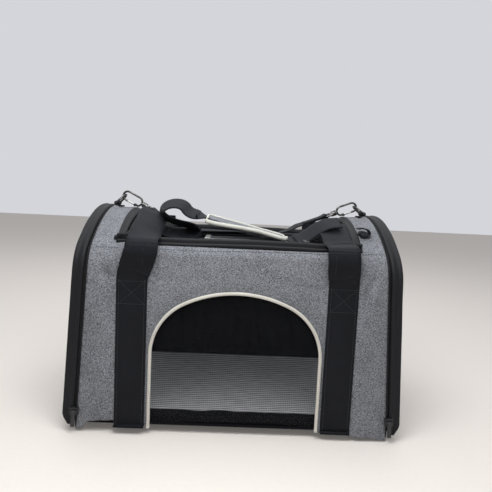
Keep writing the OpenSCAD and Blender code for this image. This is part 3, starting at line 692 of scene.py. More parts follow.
# Black bonded thread along both edges of each band, and the box-and-cross where it is sewn down
black_thread = grained("black_thread", 0.5, 1800, (0.010, 0.010, 0.013), (0.045, 0.047, 0.055), 0.0002, 0.5)
hem, box_low, thread_y = 3, sew_z - 30, stub_y + 1.15
seams = []
for sign in (-1, 1):
    edges = [sign * web_x + edge * (web_w / 2 - hem) for edge in (-1, 1)]
    heights = [*range(12, round(sew_z), 12), sew_z]
    seams += [[(x, y, z) for z in heights] for x in edges for y in (-thread_y, thread_y)]
    lo, hi = edges
    seams += [[(lo, y, z), (hi, y, z)] for z in (sew_z - 1, box_low) for y in (-thread_y, thread_y)]
    for y in (-thread_y - 0.05, thread_y + 0.05):
        seams += [[(lo, y, box_low), (hi, y, sew_z - 1)], [(hi, y, box_low), (lo, y, sew_z - 1)]]
stitched("webbing_stitches", seams, black_thread, "bag")


# ---- End frames: zip tapes, coil and teeth ----
# A black zip runs over each arched end, from foot to foot, between the shell and the door.
# Each half has a folded edge that stands up as a ridge, with the coil in the groove between.

coil_w, rim_x = 1.8, -12.1
coil_x = -band_w + 11.8


def arch_line(bottom, step=4.0):
    """The end arch from front foot to back foot: (y, z, outward y, outward z), evenly spaced."""
    r, big, cz, ky, kz, ka = profile(0)
    foot_y, foot_z = half_y - foot_r, floor_gap + foot_r

    def bend(cy, cz, r, angles):
        return [(cy + r * math.cos(a), cz + r * math.sin(a), math.cos(a), math.sin(a)) for a in angles]

    pts = bend(foot_y, foot_z, foot_r, [math.radians(-90 + 18 * k) for k in range(5)])
    pts = [p for p in pts if p[1] > bottom]
    low = max(bottom, foot_z)
    count = round((kz - low) / step)
    pts += [(half_y, blend(low, kz, k / count), 1, 0) for k in range(count)]
    count = max(6, round(r * ka / step))
    pts += bend(ky, kz, r, [ka * k / count for k in range(count)])
    count = round(big * (math.pi / 2 - ka) / step)
    pts += bend(0, cz, big, [blend(ka, math.pi / 2, k / count) for k in range(count + 1)])
    return [(-y, z, -ny, nz) for y, z, ny, nz in pts] + pts[-2::-1]


def at_end(side, x, y, z):
    """A point of the leaning end's own frame, in the bag's frame."""
    c, s = math.cos(end_lean), math.sin(end_lean)
    return side * (end_x + x * c - z * s), y, x * s + z * c


foot_tuck = 8


def round_arch(name, side, section, bottom, finish, body, wave=0.0, seed=0):
    """A strip of the given (x, outwards) section laid round the end arch, tucked in at the feet."""
    rows, uvs, run = [], [], 0.0
    line = arch_line(bottom)
    last = line[0]
    for y, z, ny, nz in line:
        run += math.hypot(y - last[0], z - last[1])
        last = (y, z)
        sway = wave * noise.noise(Vector((run / 38, seed, side)))
        tuck = foot_tuck * (1 - ease((z - 6) / 18))
        rows.append([at_end(side, x - tuck * ease((x + 9) / 8) + sway, y + ny * out, z + nz * out)
                     for x, out in section])
        uvs += [(run, x) for x, out in section]
    return laid(name, rows, finish, body, uvs, flip=side < 0, mend=True)


zip_tape = Finish("zip_tape", 0.55, Sheen_Weight=0.03, Specular_IOR_Level=0.22)
run_u, run_v, _ = zip_tape.axes("UV")
bone = (run_v * 4200).wave() * 0.5 + (run_u * 3000).wave() * 0.5
dust = zip_tape.speckle(500, 3.0)
zip_tape.colour((bone * 0.4 + dust * 0.5).clamp(), (0.002, 0.002, 0.003), (0.014, 0.015, 0.019))
zip_tape.bump(bone, 0.0003, 0.6)

fixed_tape = [(-22.0, -0.7), (shell_end - 1.0, -0.4), (shell_end, 0.3), (shell_end + 0.5, 1.3),
              (shell_end + 1.2, 1.8), (coil_x - 0.7, 1.5), (coil_x - 0.2, 0.4), (coil_x - 0.2, -1.8),
              (-22.0, -1.8)]
coil_bed = [(coil_x, -1.4), (coil_x, -0.5), (coil_x + coil_w, -0.5), (coil_x + coil_w, -1.4)]


zip_nylon = grained("zip_nylon", 0.4, 400, (0.004, 0.004, 0.005), (0.014, 0.014, 0.016), 0.0001, 0.3,
                    Specular_IOR_Level=0.3)


def toothed(name, line, body):
    """One loop of the zip's coil at each point along the groove."""
    return beaded(name, [line], zip_nylon, body, 2.2, (1.3, 2.6, 1.2), False)


for side, sign in both_ends:
    tape = round_arch(side + "_fixed_zip_tape", sign, fixed_tape, 0.8, zip_tape, "bag", wave=0.5, seed=5)
    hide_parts(side + "_end_tape")
    bed = round_arch(side + "_coil_bed", sign, coil_bed, 12, zip_nylon, "bag")
    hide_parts(side + "_zip_coil")
    groove = [at_end(sign, coil_x + coil_w / 2, y - ny * 0.1, z - nz * 0.1)
              for y, z, ny, nz in arch_line(12, 4)]
    toothed(side + "_zip_teeth", groove, "bag")


# ---- End doors ----
# Padded grey cloth with a round-cornered mesh window, edged by a stiff bound rim.
# Each door hangs on the strip of webbing at its foot and is held shut by the zip.

door_rim_section = [(rim_x + 0.1, -1.9), (rim_x + 0.1, 0.4), (rim_x + 1.0, 1.5), (rim_x + 2.6, 2.2),
                    (rim_x + 4.4, 2.2), (rim_x + 6.2, 1.3), (rim_x + 8.2, 1.0), (-2.2, 1.3), (0.0, 2.2),
                    (1.6, 1.8), (2.3, 0.2), (2.2, -2.6), (1.2, -4.2), (-0.6, -4.2), (-1.6, -2.6),
                    (-3.2, -1.9)]
margin, door_low, door_corner = 46, 40, 22


def door_window(grow):
    """The door window's edge moved outwards by grow, as points (y, z)."""
    r, big = door_corner + grow, crown_r - 60
    y, crown = half_y - margin - door_corner, arch_h - margin + grow - big
    kz = crown + math.sqrt((big - r) ** 2 - y * y)
    ka = math.atan2(kz - crown, y)
    half = arc(y, door_low + door_corner, r, -math.pi / 2, 0, 8) + [(y + r, door_low + door_corner)]
    half += arc(y, kz, r, 0, ka, 8) + [(y + r * math.cos(ka), kz + r * math.sin(ka))]
    half += arc(0, crown, big, ka, math.pi / 2, 12)[1:]
    return half + [(0, crown + big)] + [(-a, b) for a, b in reversed(half)]


def resampled(loop, count):
    return [tuple(p) for p in spaced(loop + loop[:1], count)]


door_n, door_mid = 144, 140


def around(loop):
    """The loop's points met by rays from the middle of the door, evenly turned."""
    out = []
    for k in range(door_n):
        a = 2 * math.pi * k / door_n - math.pi / 2
        dy, dz = math.cos(a), math.sin(a)
        best = 0
        for (y0, z0), (y1, z1) in zip(loop, loop[1:] + loop[:1]):
            rise, across = z0 - door_mid, dy * (z1 - z0) - dz * (y1 - y0)
            if abs(across) > 1e-9 and -1e-6 <= (y0 * dz - rise * dy) / across <= 1 + 1e-6:
                best = max(best, (y0 * (z1 - z0) - rise * (y1 - y0)) / across)
        out.append((dy * best, door_mid + dz * best))
    return out


outer_edge = around([(y * 0.985, 8.6 + (z - 8.6) * 0.99) for y, z, ny, nz in arch_line(8.3, 5)])
inner_edge = around(door_window(0))


def door_skin(name, side, body):
    """The padded face from rim to window, then the back face, as one closed ring of cloth."""
    shape = [(0.00, -0.2), (0.04, 0.6), (0.14, 1.9), (0.30, 3.0), (0.50, 3.4), (0.70, 2.9), (0.86, 1.8),
             (0.96, 0.5), (1.00, -0.4), (1.00, -2.6), (0.50, -2.9), (0.00, -2.6)]
    rows, uvs = [], []
    for (y0, z0), (y1, z1) in zip(outer_edge, inner_edge):
        flat = [(blend(y0, y1, t), blend(z0, z1, t), x) for t, x in shape]
        rows.append([at_end(side, x + (0.9 * lumps(y, z, 34, 41 + side) + 0.5 * lumps(y, z, 12, 43)
                                       if x > 0.6 else 0), y, z) for y, z, x in flat])
        uvs += [(y, z) for y, z, x in flat]
    return laid(name, rows, grey_cloth, body, uvs, closed=True, flip=side < 0)


for side, sign in both_ends:
    body = side + "_door"
    rim = round_arch(side + "_door_edge", sign, door_rim_section, 8.4, zip_tape, body, wave=0.3, seed=8)
    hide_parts(side + "_door_rim", side + "_door_binding")
    skin = door_skin(side + "_door_cloth", sign, body)
    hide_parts(side + "_door_panel")

    corners, faces = [at_end(sign, -3.4, 0, door_mid)], []
    for ring in range(1, 9):
        for hole_y, hole_z in around(door_window(5)):
            y, z = blend(0, hole_y, ring / 8), blend(door_mid, hole_z, ring / 8)
            corners.append(at_end(sign, -3.4 - 1.2 * (1 - (ring / 8) ** 2) + 0.5 * lumps(y, z, 40, 47), y, z))
    for k in range(door_n):
        faces.append((0, 1 + k, 1 + (k + 1) % door_n))
        for ring in range(7):
            a, b = 1 + ring * door_n + k, 1 + ring * door_n + (k + 1) % door_n
            faces.append((a, a + door_n, b + door_n, b))
    if sign < 0:
        faces = [f[::-1] for f in faces]
    net = solid(side + "_door_net", corners, faces, window_mesh, body=body)
    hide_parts(side + "_door_mesh")

    loop, path = resampled(door_window(2.2), 170), []
    tip = Vector(at_end(sign, 0, 0, 0))
    for (y0, z0), (y, z), (y1, z1) in zip(loop[-1:] + loop, loop, loop[1:] + loop[:1]):
        t = Vector((y1 - y0, z1 - z0)).normalized()
        path.append((at_end(sign, 0.9, y, z), Vector(at_end(sign, 0, -t.y, t.x)) - tip,
                     Vector(at_end(sign, 1, 0, 0)) - tip))
    cord = sweep(side + "_door_piping_cord", path, arc(0, 0, 2.1, 0, math.tau, 10), cream_cloth, body,
                 closed=True)
    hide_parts(side + "_door_piping")


# ---- Roof hatch, its zip and the topstitching ----
# A black mesh hatch sags between the ends, bound all round with ribbed tape.
# Its zip runs along the brow as two standing folds, with the coil in the groove between.

flap_gap, binding_w, hatch_sag = 1.5, 12, 6
flap_x, flap_front, flap_back = hatch_x - flap_gap, -hatch_y + flap_gap, hatch_y - 4.4


def flap_z(x, y):
    return roof_z(x, y) - hatch_sag * (1 - (x / hatch_x) ** 2) * (1 - (y / hatch_y) ** 2)


def sheet(name, nu, nv, at, finish, body, uvs=None):
    """A thin closed sheet; at(s, t, low) gives a point of its upper or its lower face."""
    corners = [tuple(at(i / nu, j / nv, low)) for low in (0, 1) for i in range(nu + 1) for j in range(nv + 1)]
    top, per, faces = (nu + 1) * (nv + 1), nv + 1, []
    for a, b, c, d in grid_faces(nu, nv):
        faces += [(a, b, c, d), (top + a, top + d, top + c, top + b)]
    rim = ([i * per for i in range(nu + 1)] + [nu * per + j for j in range(1, per)]
           + [i * per + nv for i in range(nu - 1, -1, -1)] + list(range(nv - 1, 0, -1)))
    faces += [(a, top + a, top + b, b) for a, b in zip(rim, rim[1:] + rim[:1])]
    return solid(name, corners, faces, finish, uv=uvs, body=body)


net_x, net_front, net_back = flap_x - binding_w + 2, flap_front + binding_w - 2, flap_back - binding_w + 2
net_drop, net_thick = 0.7, 0.8


def net_at(s, t, low):
    x, y = blend(-net_x, net_x, s), blend(net_front, net_back, t)
    rim = ease(min(x + net_x, net_x - x, y - net_front, net_back - y) / 14)
    return x, y, flap_z(x, y) - net_drop - low * net_thick + 0.9 * rim * lumps(x, y, 38, 51)


hatch_net = sheet("hatch_mesh", 70, 46, net_at, window_mesh, "roof_flap")
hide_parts("roof_flap_mesh")

plan = [(-flap_x, flap_front), (flap_x, flap_front), (flap_x, flap_back), (-flap_x, flap_back)]
frame_line = []
for (x0, y0), (x1, y1), n in zip(plan, plan[1:] + plan[:1], (90, 66, 90, 66)):
    frame_line += [(blend(x0, x1, k / n), blend(y0, y1, k / n)) for k in range(n)]
section = [(0.0, -0.6), (0.0, 0.7), (1.2, 1.4), (3.0, 1.6), (5.5, 0.9), (8.5, 1.2), (11.2, 1.0), (12.0, 0.0),
           (12.0, -1.4), (0.6, -1.6)]
rows, uvs, run, last = [], [], 0.0, frame_line[0]
for x, y in frame_line:
    run += math.dist((x, y), last)
    last = (x, y)
    row = []
    for inset, lift in section:
        ix = math.copysign(max(0, min(abs(x), flap_x - inset)), x)
        iy = max(flap_front + inset, min(y, flap_back - inset))
        row.append((ix, iy, flap_z(ix, iy) + lift * 0.8 - 0.5))
    rows.append(row)
    uvs += [(run, inset) for inset, lift in section]
hatch_edge = laid("hatch_binding", rows, zip_tape, "roof_flap", uvs, closed=True)
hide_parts("roof_flap_binding")


def brow(x, out=0.0):
    """A point on the front brow at x, where the corner meets the crown, and its outward way."""
    r, big, cz, ky, kz, ka = profile(flatness(x))
    return (x, -(ky + (r + out) * math.cos(ka)), kz + (r + out) * math.sin(ka)), (-math.cos(ka), math.sin(ka))


# The zip along each brow: two folds standing on the edge of the wall, the inner one taller
brow_section = [(-4.4, -0.8), (-4.8, 1.4), (-4.2, 3.0), (-3.0, 3.8), (-1.7, 3.4), (-0.9, 2.2), (-0.5, 1.6),
                (0.5, 1.8), (0.8, 3.4), (1.2, 6.0), (2.0, 8.2), (3.2, 9.0), (4.4, 8.0), (4.9, 5.0),
                (5.0, -0.8)]


def brow_zip(name, back, steps=150):
    rows, uvs = [], []
    for i in range(steps + 1):
        (x, y, z), (ny, nz) = brow(blend(-tape_x + 0.5, tape_x - 0.5, i / steps))
        ty = nz
        if back:
            y, ny, ty = -y, -ny, -nz
        tz = abs(ny)
        lift = 1.6 * math.sin(x / 47 + 0.8 + back) + 1.4 * lumps(x, back * 50, 40, 61)
        lift *= ease((tape_x - abs(x)) / 12) * 0.6
        raised = [(along, out + lift * (out > 0)) for along, out in brow_section]
        rows.append([(x, y + ny * out + ty * along, z + nz * out + tz * along) for along, out in raised])
        uvs += [(x, along) for along, out in brow_section]
    return laid(name, rows, zip_tape, "bag", uvs, flip=not back, mend=True)


front_zip = brow_zip("roof_zip_front", False)
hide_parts("roof_zip_tape")
back_zip = brow_zip("roof_zip_back", True)
toothed("roof_zip_teeth", [brow(blend(-tape_x + 6, tape_x - 6, i / 90), 2.2)[0] for i in range(91)], "bag")

# The zip tape that crosses the roof at both ends of the hatch
section = [(-0.5, 0.1), (-0.3, 1.4), (1.4, 1.9), (3.4, 1.5), (4.6, 0.9), (6.0, 1.6), (8.4, 1.8), (9.6, 1.0),
           (9.8, 0.1)]
end_strips = []
for side, sign in both_ends:
    ys = [blend(-hatch_y - 4, hatch_y + 4, i / 60) for i in range(61)]
    rows = [[(sign * (hatch_x + across), y, roof_z(hatch_x + across, y) + out) for across, out in section]
            for y in ys]
    uvs = [(y, across) for y in ys for across, out in section]
    end_strips.append(laid(side + "_roof_zip_end", rows, zip_tape, "bag", uvs, flip=sign > 0, mend=True))

# Grey topstitching, a finger's width below the zip, on the front and back walls
seams = []
for back in (False, True):
    for x0, x1 in ((-190, -154), (-111, 111), (154, 190)):
        line, count = [], round((x1 - x0) / 1.9)
        for i in range(count + 1):
            x = blend(x0, x1, i / count)
            r, big, cz, ky, kz, ka = profile(flatness(x))
            z = 240.8 + 0.0155 * x + 0.5 * math.sin(x / 30)
            a = math.asin((z - kz) / r)
            out = r + wall_swell(x, z, back) * (1 - math.sin(a)) + 0.15
            y, z = ky + out * math.cos(a), kz + out * math.sin(a)
            line.append((x, y if back else -y, z))
        seams.append(line)
topstitch = stitched("brow_topstitching", seams, black_thread, "bag", pitch=3.6, length=2.7, thick=0.9)


# ---- Handles: webbing loops over the roof and down the back ----
# Each handle is one length of the same webbing as the bands, sewn to their free ends.
# The front one lies back over the roof and curls into the grip wrap; the back one hangs down.

grip_y, grip_left, grip_right = -61, (-50, 278.6), (66, 252)
front_leg = [front_axis, (front_axis[0] + 4, front_axis[1] + 4.5), (-133, 255.5), (-119, 259), (-106, 263),
             (-88, 269.5), (-66, 277), (-42, 282.4)]
cross_run = [(-136, 271), (-126, 265), (-112, 259.5), (-94, 255.5), (-76, 254), (-62, 254.8),
             (-55.5, 258.5), (-59, 262.5), (-70, 265.5), (-86, 269), (-100, 274.5), (-108, 281),
             (-107.5, 287.5), (-102, 292.5), (-94, 295.2), (-85, 294.8), (-78, 291.5), (-73.5, 286.5),
             (-67, 283), (-58, 281), grip_left, grip_right,
             (78, 252.4), (88, 256), (98, 263), (108, 270.5), (118, 275.5), (128, 278), (138, 279)]

# The free end of each band: a second layer sewn over the first, ending in a folded edge.
# The handle's legs start there; the left one twists open, and the right one hangs lower.
left_twist, right_twist, right_droop = -0.38, 0.05, 7
for side, sign in both_ends:
    line = [(-stub_y - 4.6, 214), (-stub_y - 5.0, 216), (-stub_y - 8.6, 224), (-peak_y - 1.7, sew_z + 34),
            (-peak_y - 2.0, sew_z + 41), (-peak_y - 1.0, sew_z + 46.5), (-peak_y + 0.6, sew_z + 48.4)]
    points = smooth_line([(sign * web_x + lean(sign, y, z), y, z) for y, z in line], 2.0)
    layer = strap(side + "_handle_end", points, web_w + 1.5, 2.4, "bag", side=(1, 0, 0), ripple=0.3, seed=9)

    droop = 0 if sign < 0 else right_droop
    leg = smooth_line([(sign * web_x + lean(sign, y, 300), y, z - droop * ease((y + 146) / 40))
                       for y, z in front_leg], 3.0)
    made = strap(side + "_front_handle_leg", leg, web_w, web_t, "front_handle", ripple=0.8, seed=12 + sign,
                 twist=lambda t: (1, 0, left_twist * ease(t * 2.5) if sign < 0 else right_twist))

run = smooth_line([(x, grip_y, z) for x, z in cross_run], 2.5)
run_tilt, wrap_middle, wrap_half, tilt_over = 0.30, 8, 54, 18


def run_side(t):
    """The run's width: level under the wrap, and tilted to show its face on both sides of it."""
    i = round(t * (len(run) - 1))
    along = (run[min(i + 1, len(run) - 1)] - run[max(i - 1, 0)]).normalized()
    tilt = run_tilt * ease((abs(run[i].x - wrap_middle) - wrap_half) / tilt_over)
    return (-along.z * tilt, 1, along.x * tilt)


cross = strap("front_handle_run", run, web_w, web_t, "front_handle", ripple=0.7, seed=17, twist=run_side)
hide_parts("front_handle")

back_leg = [back_axis, (back_axis[0] + 2.3, back_axis[1] - 3.5), (peak_y, back_axis[1] - 10), (peak_y, 210),
            (peak_y, 170), (peak_y, 136)]
for side, sign in both_ends:
    points = smooth_line([(sign * web_x, y, z) for y, z in back_leg], 3.0)
    made = strap(side + "_back_handle_leg", points, web_w, web_t, "back_handle", (1, 0, 0), ripple=0.5,
                 seed=22)
sag = smooth_line([(-152, peak_y - 0.1, 151), (-100, peak_y + 0.6, 151), (0, peak_y + 0.3, 150.5),
                   (100, peak_y + 0.6, 151), (152, peak_y - 0.1, 151)], 4.0)
low_run = strap("back_handle_run", sag, web_w, web_t + 0.6, "back_handle", (0, 0, 1), ripple=0.5, seed=27)
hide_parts("back_handle")
seams, end_seams, y, low, high = [], [], peak_y + web_t / 2 + 0.45, 135, 167
end_line = [(-stub_y - 8.0, 222), (-stub_y - 11.2, 228), (-peak_y - 1.9, sew_z + 35),
            (-peak_y - 2.1, sew_z + 41)]
for sign in (-1, 1):
    lo, hi = sign * web_x - web_w / 2 + hem, sign * web_x + web_w / 2 - hem
    seams += [[(x0, y, z0), (x1, y, z1)] for x0, z0, x1, z1 in (
        (lo, low, hi, low), (lo, high, hi, high), (lo, low, lo, high), (hi, low, hi, high),
        (lo, low, hi, high))]
    end_seams += [[(x + sign * 2 * (1 - k / 5), ey - 1.35, ez) for k, (ey, ez) in enumerate(end_line)]
                  for x in (lo, hi)]
stitched("back_handle_stitches", seams, black_thread, "back_handle")
stitched("handle_end_stitches", end_seams, black_thread, "bag")


# ---- Grip wrap ----
# A padded leaf of the grey cloth folded round the handle, bound in cream tape on all edges.
# The hook-and-loop is undone: the upper leaf stands open towards the left.

cream_tape = Finish("cream_tape", 0.8, Sheen_Weight=0.15)
grosgrain = (cream_tape.axes("UV")[0] * 3600).wave()
soil = cream_tape.speckle(90, 3.0)
cream_tape.colour((grosgrain * 0.3 + soil * 0.7).clamp(), (0.50, 0.50, 0.44), (0.76, 0.76, 0.70))
cream_tape.bump(grosgrain, 0.0003, 0.6)

grip_a = math.atan2(grip_left[1] - grip_right[1], grip_right[0] - grip_left[0])
grip_mid = ((grip_left[0] + grip_right[0]) / 2, (grip_left[1] + grip_right[1]) / 2)
leaf_half, leaf_t, leaf_rest = 56, 4, math.radians(7)


def at_grip(u, v, w):
    c, s = math.cos(grip_a), math.sin(grip_a)
    return grip_mid[0] + u * c + w * s, grip_y + v, grip_mid[1] - u * s + w * c


def at_upper(u, v, w):
    """Upper leaf: v runs back from its hinge at the front."""
    c, s = math.cos(leaf_rest), math.sin(leaf_rest)
    return at_grip(u, -27.6 + v * c - w * s, -1 + v * s + w * c)


def at_lower(u, v, w):
    return grip_mid[0] + u, grip_y + v, 246.8 + w


def pad(name, place, v0, v1, body, bend, nu=46, nv=24):
    """A quilted leaf: two crowned faces that meet in a rounded edge."""
    u0, u1 = 1 - leaf_half, leaf_half - 1

    def at(s, t, low):
        u, v = blend(u0, u1, s), blend(v0, v1, t)
        inset = min(s * (u1 - u0), (1 - s) * (u1 - u0), t * (v1 - v0), (1 - t) * (v1 - v0))
        crown = (1 - (1 - min(1.0, inset / 7)) ** 2) ** 0.5
        h = (0.35 + 0.65 * crown) * leaf_t / 2 + crown * 0.35 * lumps(u, v, 18, 71 + low)
        return place(u, v, bend(u, v) + leaf_t / 2 + (-h if low else h))

    flat = [(blend(u0, u1, i / nu), blend(v0, v1, j / nv)) for i in range(nu + 1) for j in range(nv + 1)]
    return sheet(name, nu, nv, at, grey_cloth, body, flat * 2)


def rounded(u0, u1, v0, v1, r, first=0):
    """A rectangle with rounded corners; 0 starts it at the lower right corner, 1 at the upper right."""
    turns = [(u1 - r, v0 + r, -90), (u1 - r, v1 - r, 0), (u0 + r, v1 - r, 90), (u0 + r, v0 + r, 180)]
    line = []
    for cu, cv, a0 in turns[first:] + turns[:first]:
        angles = (math.radians(a0 + 15 * k) for k in range(7))
        line += [(cu + r * math.cos(a), cv + r * math.sin(a)) for a in angles]
    return line


def bound(name, place, v0, v1, body, bend, wide=2.2):
    """Cream tape folded over a leaf's edges, as one closed loop with rounded corners."""
    loop, half = resampled(rounded(-leaf_half, leaf_half, v0, v1, 6), 150), leaf_t / 2 + 0.7
    section = [(-wide, half * 0.92), (-wide * 0.4, half * 1.05), (0.2, half), (1.1, 0), (0.2, -half),
               (-wide * 0.4, -half * 1.05), (-wide, -half * 0.92)]
    rows, uvs, run, last = [], [], 0.0, loop[0]
    for a, at, b in zip(loop[-1:] + loop, loop, loop[1:] + loop[:1]):
        t = Vector((b[0] - a[0], b[1] - a[1])).normalized()
        run += math.dist(at, last)
        last = at
        moved = [(at[0] + t.y * out, at[1] - t.x * out, w) for out, w in section]
        rows.append([place(u, v, bend(u, v) + leaf_t / 2 + w) for u, v, w in moved])
        uvs += [(run, out) for out, w in section]
    return laid(name, rows, cream_tape, body, uvs, closed=True, mend=True)


def upper_bend(u, v):
    """The open leaf bellies down between its ends, and its front edge droops to the left."""
    left = ease((20 - u) / 76)
    front = 1 - ease(v / 34)
    belly = 1.4 * math.cos(u / 40) * (1 - abs(v / 26 - 1))
    return 1.2 - 6.5 * ease(v / 50) - 5.5 * left * front - belly + 0.5 * lumps(u, v, 30, 77)


def lower_bend(u, v):
    return 0.4 + 0.5 * lumps(u, v, 28, 79)


upper = pad("grip_upper_leaf", at_upper, 0.5, 51.6, "grip_flap", upper_bend)
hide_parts("grip_flap")
upper_tape = bound("grip_upper_binding", at_upper, -0.5, 52.6, "grip_flap", upper_bend)
lower = pad("grip_lower_leaf", at_lower, -24, 24, "front_handle", lower_bend)
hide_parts("grip_pad")
# Only the short ends of the lower leaf show their cream tape
for side, sign in both_ends:
    u = sign * leaf_half
    path = [(at_lower(u - sign * 3.4, v, lower_bend(u, 0) + leaf_t / 2), (1, 0, 0), (0, 0, 1))
            for v in (blend(-25.6, 25, k / 16) for k in range(17))]
    strip = sweep(side + "_grip_lower_binding", path,
                  [(-4.0, 0.0), (-3.4, 2.2), (0, 2.75), (3.6, 2.5), (3.6, -2.3), (0, -2.5), (-3.4, -2.0)],
                  cream_tape, "front_handle")


# ---- Shoulder strap and its folded ends ----
# A narrower webbing strap lies folded on the hatch and runs up to the snap hook at each end.
# Its ends are turned round the hooks' eyes and sewn back on themselves.

strap_w, strap_t, clip_tail = 25, 1.6, 36
ring_x, ring_z, ring_reach = -17.5, 291.7, 17
eye_u, eye_bore = 45.1, 1.8
ring_up, strap_down = {-1: 50, 1: 42}, {-1: 24, 1: 18}


def at_clip(side, u, y=0.0, w=0.0):
    """A point u down the strap from the ring's far wire, w below its line."""
    a, d = math.radians(ring_up[side]), math.radians(strap_down[side])
    x, z = ring_x - ring_reach * math.cos(a), ring_z + ring_reach * math.sin(a)
    return at_end(side, x - u * math.cos(d) + w * math.sin(d), y, z - u * math.sin(d) - w * math.cos(d))


layer_z, layer_step = flap_z(0, 0) + 2.2, 3.4
top_layer = layer_z + 2 * layer_step


def half_turn(x, z, a0, a1, n=8):
    r, turns = layer_step / 2, [math.radians(blend(a0, a1, k / n)) for k in range(n + 1)]
    return [(x + r * math.cos(a), 0, z + r * math.sin(a)) for a in turns]


line = ([at_clip(-1, eye_u + clip_tail + 0.3), at_clip(-1, eye_u + clip_tail + 12), (-84, 0, layer_z + 8.5),
         (-70, 0, layer_z + 2.5), (-58, 0, layer_z), (-20, 0, layer_z), (30, 0, layer_z)]
        + half_turn(62, layer_z + layer_step / 2, -90, 90)
        + [(20, 0, layer_z + layer_step), (-30, 0, layer_z + layer_step)]
        + half_turn(-56, layer_z + layer_step * 1.5, 270, 90)
        + [(-20, 0, top_layer), (30, 0, top_layer), (50, 0, top_layer), (62, 0, top_layer + 2),
           (78, 0, top_layer + 8.5), at_clip(1, eye_u + clip_tail + 10), at_clip(1, eye_u + clip_tail + 0.3)])
points = smooth_line(line, 2.5)
long_strap = strap("shoulder_strap_webbing", points, strap_w, strap_t, "bag", ripple=0.3, seed=33,
                   twist=lambda t: (0.16 * math.sin(t * 5.2), 1, 0.10 * math.sin(t * 13)))
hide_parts("shoulder_strap")

for side, sign in both_ends:
    turn_r, leg = eye_bore + strap_t / 2, [(clip_tail, 0.05), (22, 0.05), (10, 0.2), (5, 0.7)]
    fold = [(u, strap_t / 2 + gap) for u, gap in leg]
    fold += [(turn_r * math.cos(a), turn_r * math.sin(a))
             for a in (math.radians(60 + 240 * k / 14) for k in range(15))]
    fold += [(u, -strap_t / 2 - gap) for u, gap in leg[::-1]]
    points = smooth_line([at_clip(sign, eye_u + u, 0, w) for u, w in fold], 1.6)
    end_fold = strap(side + "_strap_fold", points, strap_w, strap_t, side + "_clip")
    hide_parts(side + "_strap_end")
    seams = []
    for w in (-strap_t - 0.35, strap_t + 0.35):
        lo, hi, near, far = strap_w / 2 - hem, hem - strap_w / 2, eye_u + 16, eye_u + 32
        seams += [[at_clip(sign, u0, y0, w), at_clip(sign, u1, y1, w)] for u0, y0, u1, y1 in (
            (near, lo, near, hi), (far, lo, far, hi), (near, lo, far, hi), (near, hi, far, lo))]
    stitched(side + "_strap_fold_stitches", seams, black_thread, side + "_clip", 2.6, 2.0, 0.6)


# ---- Rings, snap hooks, sliders and small fittings ----
# Cast and wire fittings in dark nickel plate, worn brighter where they rub.
# The sliders' pulls and the strap's adjuster are moulded in black plastic.

dark_nickel = Finish("dark_nickel", 0.3, Metallic=1.0)
rub = dark_nickel.speckle(160, 4.0, 0.7)
fine = dark_nickel.speckle(1.0, 2.0, 0.5, (900, 900, 3000))
dark_nickel.colour(((rub - 0.35) * 2.2).clamp(), (0.035, 0.034, 0.034), (0.26, 0.25, 0.245))
dark_nickel.set("Roughness", (fine * 0.25 + 0.16).clamp())
dark_nickel.bump(fine, 0.0001, 0.4)

bright_nickel = Finish("bright_nickel", 0.24, Metallic=1.0)
rub = bright_nickel.speckle(120, 4.0, 0.7)
bright_nickel.colour(rub, (0.20, 0.195, 0.19), (0.60, 0.59, 0.57))
bright_nickel.set("Roughness", (rub * 0.3 + 0.12).clamp())
bright_nickel.bump(rub, 0.0001, 0.3)

black_plastic = grained("black_plastic", 0.42, 1400, (0.012, 0.012, 0.014), (0.028, 0.028, 0.032),
                        0.0001, 0.5)

black_binding = Finish("black_binding", 0.75, Specular_IOR_Level=0.15)
bx, by, bz = black_binding.axes()
cloth = ((bx * 3600 + bz * 2000).sine() * (by * 3600 - bz * 1500).sine()) * 0.5 + 0.5
black_binding.colour(cloth, (0.007, 0.007, 0.009), (0.026, 0.027, 0.032))
black_binding.bump(cloth, 0.0003, 0.6)


def refinish(finish, *names):
    for name in names:
        data = nodes[name].data
        data.materials.clear()
        data.materials.append(finish.made)


for side in ("left", "right"):
    refinish(dark_nickel, side + "_ring", side + "_eye", side + "_hoop", side + "_hook")
    refinish(bright_nickel, side + "_gate")
    refinish(black_plastic, side + "_pull", side + "_slider")
    refinish(black_binding, side + "_ring_tab", side + "_door_hinge")
refinish(dark_nickel, "roof_slider")
refinish(black_plastic, "strap_adjuster", "roof_pull")
refinish(black_binding, "roof_flap_hinge")


# ---- Base, stiffener board and fleece pad ----
# The base is black lining cloth sewn to the walls, with a board slipped in under the pad.
# The pad is thin foam in pale grey fleece; it shows through the front window.

pad_low, pad_high = 16.8, 23.8
base_half_x = end_plane(-band_w, board_z)
sill_half_x = end_plane(-3.6, board_z)
pad_x, pad_y = base_half_x - 7, half_y - 10


